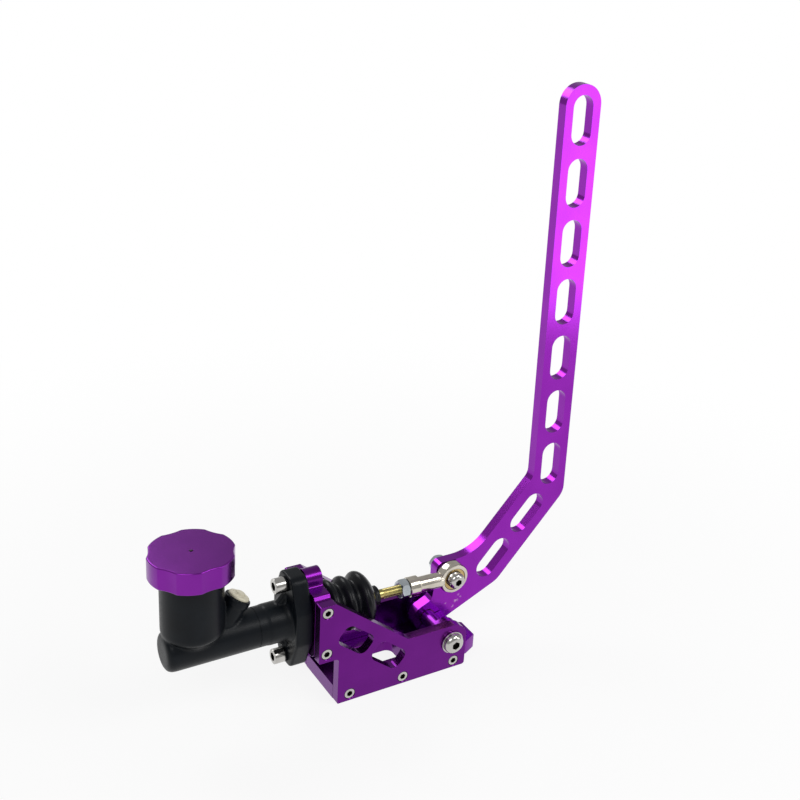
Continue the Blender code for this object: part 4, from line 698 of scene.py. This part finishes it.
# Push rod, nut and rod end
END_L = 0.042
NUT_T = 0.0075
ROD_R = 0.0040
ROOT_R = 0.00365
THREAD_START = 0.058
THREAD_PITCH = 0.00125
nut_low = ROD_SPAN - END_L - GAP - NUT_T
rod_line = [(0.0010, -0.0040), (0.0024, -0.0033), (0.0036, -0.0018), (ROD_R, 0.0), (ROD_R, THREAD_START)]
thread = THREAD_START
while thread < nut_low + 0.004:
    rod_line += [(ROD_R, thread + 0.0003), (ROOT_R, thread + 0.0007), (ROOT_R, thread + 0.0009),
                 (ROD_R, thread + 0.0012)]
    thread += THREAD_PITCH
rod_line += [(ROD_R, ROD_SPAN - 0.0175), (0.0035, ROD_SPAN - 0.017)]
rod = lathe("threaded_rod", rod_line, ROD_SEAT, ROD_DIR, 48)
finished(rod, "rod", ["push_rod"], GOLD_ZINC, 50)


def hex_nut(name, width, thickness, hole_r, origin, axis, turn=0.0):
    """Hexagon nut, chamfered both ends by a turned cone."""
    axis = Vector(axis).normalized()
    aim = axis.to_track_quat("Z", "Y").to_matrix().to_4x4()
    nut = cut_sheet(name, hexagon(width, turn), [round_hole(0, 0, hole_r, 36)], thickness,
                    (0, 0, thickness / 2), "Z", 0.0)
    reach = width / 2 / math.cos(math.pi / 6)
    round_off = lathe("nut_cone", [(width / 2 * 0.96, 0.0), (reach * 1.02, thickness * 0.17),
                                   (reach * 1.02, thickness * 0.83), (width / 2 * 0.96, thickness)],
                      (0, 0, 0), Z, 72)
    carve(nut, round_off, "INTERSECT")
    soft_edges(nut, 0.00015, 2, 25)
    nut.data.transform(Matrix.Translation(origin) @ aim)
    return nut


jam = hex_nut("jam_nut", 0.014, NUT_T, 0.0043, ROD_SEAT + ROD_DIR * nut_low, ROD_DIR, math.radians(12))
finished(jam, "rod", ["lock_nut"], ZINC, 25)

collar = ROD_SPAN - END_L
eye = lathe("rod_eye", [(0.0077, collar), (0.0083, collar + 0.0006), (0.0083, collar + 0.0086),
                        (0.0079, collar + 0.0090), (0.0067, collar + 0.0096), (0.0065, collar + 0.0102),
                        (0.0065, ROD_SPAN - 0.0150), (0.0052, ROD_SPAN - 0.0078)],
            ROD_SEAT, ROD_DIR, 72)
ring = lathe("eye_ring", [(0.0110, -0.00475), (0.0123, -0.0042), (0.0130, -0.0030), (0.0130, 0.0030),
                          (0.0123, 0.0042), (0.0110, 0.00475)], EYE, Y, 96)
carve(eye, ring, "UNION")
carve(eye, lathe("eye_bore", [(0.0097, -0.02), (0.0097, 0.02)], EYE, Y, 72))
carve(eye, lathe("eye_thread", [(0.0043, collar - 0.001), (0.0043, ROD_SPAN - 0.016)], ROD_SEAT, ROD_DIR, 40))
soft_edges(eye, 0.0002, 2, 40)
finished(eye, "rod", ["rod_end_housing"], NICKEL)

RACE_R = 0.0083
LINER_HALF = 0.00445
BALL_R = 0.008
BALL_HALF = 0.00625
race = [(RACE_R * math.cos(a), RACE_R * math.sin(a))
        for a in [math.asin(LINER_HALF / RACE_R) * (k / 6 - 1) for k in range(13)]]
liner = lathe("eye_liner", [(0.0093, LINER_HALF), (0.0093, -LINER_HALF)] + race, EYE, Y, 72, ring=True)
finished(liner, "rod", ["rod_end_liner"], BRASS)
ball_face = math.sqrt(BALL_R ** 2 - BALL_HALF ** 2)
ball_line = [(BALL_R * math.cos(a), BALL_R * math.sin(a))
             for a in [math.atan2(BALL_HALF, ball_face) * (1 - k / 8) for k in range(17)]]
ball = lathe("eye_ball", ball_line + [(0.0043, -BALL_HALF), (0.0043, BALL_HALF)], EYE, Y, 64, ring=True)
finished(ball, "hand_lever", ["rod_end_ball"], STAINLESS)


def button(name, origin, axis, head_r, head_h, shank_r, length, key, key_depth):
    """Button-head screw: domed head, hexagon socket, plain shank."""
    crown = head_r * 0.45
    dome = [(head_r, 0.0)]
    for k in range(10, -1, -1):
        a = math.pi / 2 * k / 10
        dome.append((crown + (head_r - crown) * math.sin(a), head_h * (0.12 + 0.88 * math.cos(a))))
    screw = lathe(name, dome, origin, axis, 72)
    carve(screw, hex_tool(key, key_depth, Vector(origin) + Vector(axis) * head_h, axis))
    soft_edges(screw, 0.00015, 2, 50)
    shank = lathe(name + "_shank", [(shank_r, -0.00001), (shank_r, -length + shank_r * 0.3),
                                    (shank_r * 0.7, -length)], origin, axis, 40)
    pick_up(screw, shank)
    bpy.ops.object.join()
    return screw


eye_nut_y = LEVER_FAR + GAP + WASHER_T + GAP
eye_bolt = button("eye_bolt", EYE - Y * 0.00655, -Y, 0.007, 0.0044, 0.004,
                  eye_nut_y + 0.0065 + 0.0015 + 0.00655, 0.005, 0.003)
finished(eye_bolt, "hand_lever", ["rod_end_bolt"], STAINLESS)
paint_socket_shade(eye_bolt, EYE - Y * 0.01095, -Y, 0.005, 0.003)
eye_spacer = flat_ring("eye_spacer", 0.0043, 0.0062, 0.001, EYE + Y * 0.00655, Y)
finished(soft_edges(eye_spacer, 0.00015), "hand_lever", ["rod_end_spacer"], STAINLESS)
eye_washer = flat_ring("eye_washer", 0.0043, 0.008, WASHER_T, EYE + Y * (LEVER_FAR + GAP), Y, 56)
finished(soft_edges(eye_washer, 0.0002), "hand_lever", ["rod_end_washer"], ZINC)
eye_nut = hex_nut("eye_nut", 0.013, 0.0065, 0.0043, EYE + Y * eye_nut_y, Y, math.radians(8))
finished(eye_nut, "hand_lever", ["rod_end_nut"], ZINC, 25)

# Lever
GRIP_LEAN = math.radians(0.98)
BENT = math.radians(49.0)
FOOT = math.radians(24.7)
GRIP_HALF = 0.0163
BENT_HALF = 0.0195
FOOT_HALF = 0.0125
LEVER_TOP = 0.4585
SLOT = (0.0382, 0.0182)
bend = Vector((0.1555, 0.124))
grip_up = Vector((-math.sin(GRIP_LEAN), math.cos(GRIP_LEAN)))
grip_side = Vector((math.cos(GRIP_LEAN), math.sin(GRIP_LEAN)))
bent_up = Vector((math.cos(BENT), math.sin(BENT)))
bent_side = Vector((math.sin(BENT), -math.cos(BENT)))
foot_up = Vector((math.cos(FOOT), math.sin(FOOT)))
foot_side = Vector((math.sin(FOOT), -math.cos(FOOT)))


def meet(p, d, q, e):
    """Where two straight edges cross."""
    across = d.x * e.y - d.y * e.x
    return p + d * (((q.x - p.x) * e.y - (q.y - p.y) * e.x) / across)


foot = Vector((HINGE.x, HINGE.z))
grip_left = bend - grip_side * GRIP_HALF
grip_right = bend + grip_side * GRIP_HALF
bent_left = bend - bent_side * BENT_HALF
bent_right = bend + bent_side * BENT_HALF
foot_right = foot + foot_side * FOOT_HALF
foot_left = foot - foot_side * FOOT_HALF
grip_long = (LEVER_TOP - bend.y) / math.cos(GRIP_LEAN)
lug_r = 0.0102
lug_top = Vector((EYE.x, EYE.z + lug_r))
corners = []
for point, radius in ((grip_left + grip_up * grip_long, 0.01597), (grip_right + grip_up * grip_long, 0.01597),
                      (meet(grip_right, grip_up, bent_right, bent_up), 0.016),
                      (meet(bent_right, bent_up, foot_right, foot_up), 0.02),
                      (foot_right - foot_up * FOOT_HALF, FOOT_HALF * 0.99),
                      (foot_left - foot_up * FOOT_HALF, FOOT_HALF * 0.99),
                      (meet(foot_left, foot_up, Vector((HINGE.x + 0.0035, 0)), Vector((0, 1))), 0.006),
                      (Vector((EYE.x - lug_r, EYE.z - lug_r * 0.3)), 0.02),
                      (Vector((EYE.x - lug_r, EYE.z + lug_r)), lug_r * 0.99),
                      (meet(lug_top, Vector((1, 0)), bent_left, bent_up), 0.045),
                      (meet(bent_left, bent_up, grip_left, grip_up), 0.012)):
    corners.append((point.x, point.y, radius))
openings = []
for k in range(7):
    spot = bend + grip_up * (0.0195 + 0.048 * k)
    openings.append(long_hole(spot.x, spot.y, *SLOT, math.pi / 2 + GRIP_LEAN))
for k in range(2):
    spot = bend - bent_up * (0.0305 + 0.0468 * k)
    openings.append(long_hole(spot.x, spot.y, *SLOT, BENT))
openings.append(round_hole(HINGE.x, HINGE.z, 0.0070))
openings.append(round_hole(EYE.x, EYE.z, 0.0043))
hub_screws = [(HINGE.x + 0.0098 * math.cos(a), HINGE.z + 0.0098 * math.sin(a))
              for a in (math.radians(254.7), math.radians(334.7))]
for x, z in hub_screws:
    openings.append(round_hole(x, z, 0.00205, 24))
handle = cut_sheet("hand_grip", rounded(corners), openings, LEVER_FAR - LEVER_NEAR,
                   (0, (LEVER_NEAR + LEVER_FAR) / 2, 0), "Y", 0.0005)
for x, z in hub_screws:
    carve(handle, lathe("screw_seat", [(0.00336, -0.0024), (0.00336, 0.001)], (x, LEVER_FAR, z), Y, 32))
finished(handle, "hand_lever", ["lever"], PURPLE_LEVER)

# Pivot
hub_near = -CHEEK_IN + GAP
hub_far = LEVER_NEAR - GAP
hub_step = hub_near + 0.0082
hub = lathe("pivot_hub", [(0.0126, hub_near), (HUB_R, hub_near + 0.0004), (HUB_R, hub_step - 0.0005),
                          (0.0125, hub_step), (0.0070, hub_step), (0.0064, hub_step + 0.0006),
                          (0.0064, hub_far - 0.0003), (0.0061, hub_far)], (HINGE.x, 0, HINGE.z), Y, 96)
foot_line = [(HINGE.x, HINGE.z)]
for k in range(29):
    a = math.radians(230 + 142 * k / 28)
    foot_line.append((HINGE.x + 0.0128 * math.cos(a), HINGE.z + 0.0128 * math.sin(a)))
carve(hub, cut_sheet("hub_foot", foot_line, [], hub_far - 0.0002 - hub_step + 0.002,
                     (0, (hub_far - 0.0002 + hub_step - 0.002) / 2, 0), "Y", 0.0), "UNION")
heel_line = rounded([(HINGE.x + 0.00975, 0.0136, 0.0), (0.0573, 0.0136, 0.0), (0.0573, 0.0016, 0.0008),
                     (0.0745, 0.0016, 0.0008), (0.0745, 0.0144, 0.001), (0.0608, 0.0144, 0.004),
                     (HINGE.x + 0.01261, HINGE.z + 0.002, 0.0), (HINGE.x, HINGE.z, 0.0),
                     (HINGE.x, HINGE.z - 0.0078, 0.0)])
heel = cut_sheet("pivot_heel", heel_line, [], hub_far - hub_near - 0.0006, (0, (hub_near + hub_far) / 2, 0),
                 "Y", 0.0)
for side, edge in ((-1, hub_near + 0.0003), (1, hub_far - 0.0003)):
    wedge = cut_sheet("heel_taper", [(0.064, edge), (0.0755, edge - side * 0.0060225),
                                     (0.0755, edge + side * 0.001), (0.064, edge + side * 0.001)],
                      [], 0.05, (0, 0, 0.0072), "Z", 0.0)
    carve(heel, wedge)
soft_edges(heel, 0.0004, 2, 30)
carve(hub, heel, "UNION")
carve(hub, lathe("hub_bore", [(0.0053, -0.04), (0.0053, 0.03)], (HINGE.x, 0, HINGE.z), Y, 48))
finished(hub, "hand_lever", ["pivot_block"], PURPLE_TURNED)
bush = lathe("pivot_bush", [(0.0053, LEVER_NEAR), (0.0067, LEVER_NEAR), (0.0067, LEVER_FAR),
                            (0.0053, LEVER_FAR)], (HINGE.x, 0, HINGE.z), Y, 48, ring=True)
finished(bush, "hand_lever", ["hinge_bush"], BRASS)
for k, (x, z) in enumerate(hub_screws):
    screw = socket_head(f"hub_fixing_{k + 1}", (x, LEVER_FAR - 0.0021, z), Y, 0.0030625, 0.002, 0.00175,
                        0.014, 0.002, 0.001, 0.0003, 32)
    finished(screw, "hand_lever", [f"hub_screw_{k + 1}"], STAINLESS)
sleeve = lathe("far_sleeve", [(0.0053, LEVER_FAR + GAP), (0.0085, LEVER_FAR + GAP),
                              (0.0085, CHEEK_IN - GAP), (0.0053, CHEEK_IN - GAP)],
               (HINGE.x, 0, HINGE.z), Y, 56, ring=True)
finished(soft_edges(sleeve, 0.0002), "bracket", ["hinge_spacer"], PURPLE_TURNED)
for side, word in ((-1, "near"), (1, "far")):
    washer = flat_ring(f"pivot_washer_{word}", 0.0053, 0.0095, WASHER_T,
                       (HINGE.x, side * (CHEEK_OUT + GAP), HINGE.z), Y * side, 64)
    finished(soft_edges(washer, 0.0003), "bracket", [f"hinge_washer_{word}"], STAINLESS)
seat = CHEEK_OUT + GAP + WASHER_T + GAP
pivot_bolt = button("pivot_bolt", (HINGE.x, -seat, HINGE.z), -Y, 0.0085, 0.0049, 0.005,
                    2 * seat + 0.0095 + 0.002, 0.006, 0.0035)
finished(pivot_bolt, "bracket", ["hinge_bolt"], STAINLESS)
paint_socket_shade(pivot_bolt, (HINGE.x, -seat - 0.0049, HINGE.z), -Y, 0.006, 0.0035)
pivot_nut = hex_nut("pivot_nut", 0.017, 0.0095, 0.0053, (HINGE.x, seat, HINGE.z), Y, math.radians(10))
finished(pivot_nut, "bracket", ["hinge_nut"], ZINC, 25)

# The return spring, copied from its CAD solid into a mesh of its own
put_down()
spring_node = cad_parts["return_spring"]
coil = spring_node.copy()
coil.data = spring_node.data.copy()
coil.name = "return_coil"
coil.parent = None
bpy.context.collection.objects.link(coil)
coil.matrix_world = spring_node.matrix_world.copy()
pick_up(coil)
bpy.ops.object.transform_apply(location=True, rotation=True, scale=True)
bpy.ops.object.mode_set(mode="EDIT")
bpy.ops.mesh.select_all(action="SELECT")
bpy.ops.mesh.remove_doubles(threshold=0.000001)
bpy.ops.object.mode_set(mode="OBJECT")
coil.data.materials.clear()
finished(coil, "bracket", ["return_spring"], STAINLESS, 60)
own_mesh(coil)

# Pieces out of sight keep their own solids
for node, material in (("cap_seal", RUBBER), ("valve_spacer", CREAM), ("stop_washer", STAINLESS),
                       ("circlip", STAINLESS), ("piston", ALLOY),
                       ("piston_cup_front", RUBBER), ("piston_cup_rear", RUBBER),
                       ("spring_thimble", STAINLESS), ("valve_stem", STAINLESS), ("valve_seal", RUBBER)):
    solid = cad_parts[node]
    solid.data.materials.clear()
    solid.data.materials.append(material)

# Floor, light and camera
put_down()
bpy.ops.mesh.primitive_plane_add(size=6.0, location=(0, 0, -0.0002))
ground = bpy.context.object
ground.name = "studio_floor"
floor_paint, tree, shader = finish("pale_floor", (0.86, 0.86, 0.86), 0.0, 0.7)
shader.inputs["Specular IOR Level"].default_value = 0.0
# White for the camera and in reflections, a little less under the object so that its shadow shows
spot = tree.nodes.new("ShaderNodeTexCoord")
reach = tree.nodes.new("ShaderNodeVectorMath")
reach.operation = "LENGTH"
tree.links.new(spot.outputs["Object"], reach.inputs[0])
fade = tree.nodes.new("ShaderNodeMapRange")
fade.interpolation_type = "SMOOTHSTEP"
for socket, value in (("From Min", 0.15), ("From Max", 0.75), ("To Min", 0.86), ("To Max", 1.0)):
    fade.inputs[socket].default_value = value
tree.links.new(reach.outputs["Value"], fade.inputs["Value"])
glow = tree.nodes.new("ShaderNodeEmission")
glow.inputs["Color"].default_value = (1, 1, 1, 1)
ray = tree.nodes.new("ShaderNodeLightPath").outputs
seen = reckon(tree, "MAXIMUM", ray["Is Camera Ray"], ray["Is Glossy Ray"])
seen = reckon(tree, "MAXIMUM", seen, ray["Is Transmission Ray"])
choose(tree, reckon(tree, "MULTIPLY", seen, fade.outputs["Result"]), shader.outputs[0], glow.outputs[0],
       tree.nodes["Material Output"].inputs["Surface"])
ground.data.materials.append(floor_paint)

world = bpy.data.worlds.new("studio")
bpy.context.scene.world = world
world.use_nodes = True
tree = world.node_tree
backdrop = tree.nodes["Background"]
backdrop.inputs["Color"].default_value = (1, 1, 1, 1)
backdrop.inputs["Strength"].default_value = 1.0
room = tree.nodes.new("ShaderNodeBackground")
room.inputs["Color"].default_value = (1, 1, 1, 1)
room.inputs["Strength"].default_value = 0.34
ray = tree.nodes.new("ShaderNodeLightPath").outputs
seen = reckon(tree, "MAXIMUM", ray["Is Camera Ray"], ray["Is Transmission Ray"])
choose(tree, reckon(tree, "MULTIPLY_ADD", ray["Is Glossy Ray"], 0.12, seen), room.outputs[0],
       backdrop.outputs[0], tree.nodes["World Output"].inputs["Surface"])


def lamp(name, place, target, size, power):
    """A soft rectangular light, aimed."""
    put_down()
    bpy.ops.object.light_add(type="AREA", location=place)
    light = bpy.context.object
    light.name = name
    light.data.shape = "RECTANGLE"
    light.data.size = size[0]
    light.data.size_y = size[1]
    light.data.energy = power
    light.rotation_euler = (Vector(target) - Vector(place)).to_track_quat("-Z", "Y").to_euler()
    return light


lamp("key_light", (-0.9, -0.9, 1.3), (0, 0, 0.1), (0.8, 0.8), 7.0)
lamp("top_light", (0.62, -0.82, 1.15), (0, 0, 0.08), (0.8, 0.5), 6.5)
lamp("rear_light", (-0.25, 1.15, 1.05), (0, 0, 0.15), (0.8, 0.55), 6.0)
# Its reflection brightens the upper grip
grip_light = lamp("grip_light", (0.515, -0.434, 0.26), (0.162, 0.008, 0.36), (0.22, 0.36), 0.6)
grip_light.visible_camera = False

# The photograph's viewing angle
AZIMUTH, ELEVATION, ROLL = math.radians(-36.37), math.radians(22.75), math.radians(5.49)
right = Vector((math.cos(AZIMUTH), math.sin(AZIMUTH), 0.0))
back = Vector((math.sin(AZIMUTH) * math.cos(ELEVATION), -math.cos(AZIMUTH) * math.cos(ELEVATION),
               math.sin(ELEVATION)))
up = back.cross(right)
across = right * math.cos(ROLL) + up * math.sin(ROLL)
upright = -right * math.sin(ROLL) + up * math.cos(ROLL)
put_down()
bpy.ops.object.camera_add()
camera = bpy.context.object
camera.matrix_world = Matrix.Translation((-0.4240, -0.7285, 0.6107)) @ \
    Matrix((across, upright, back)).transposed().to_4x4()
camera.data.lens = 56.08
camera.data.shift_x = -0.1539
camera.data.shift_y = -0.0271
camera.data.clip_start = 0.01
bpy.context.scene.camera = camera
bpy.context.scene.view_settings.view_transform = "Standard"
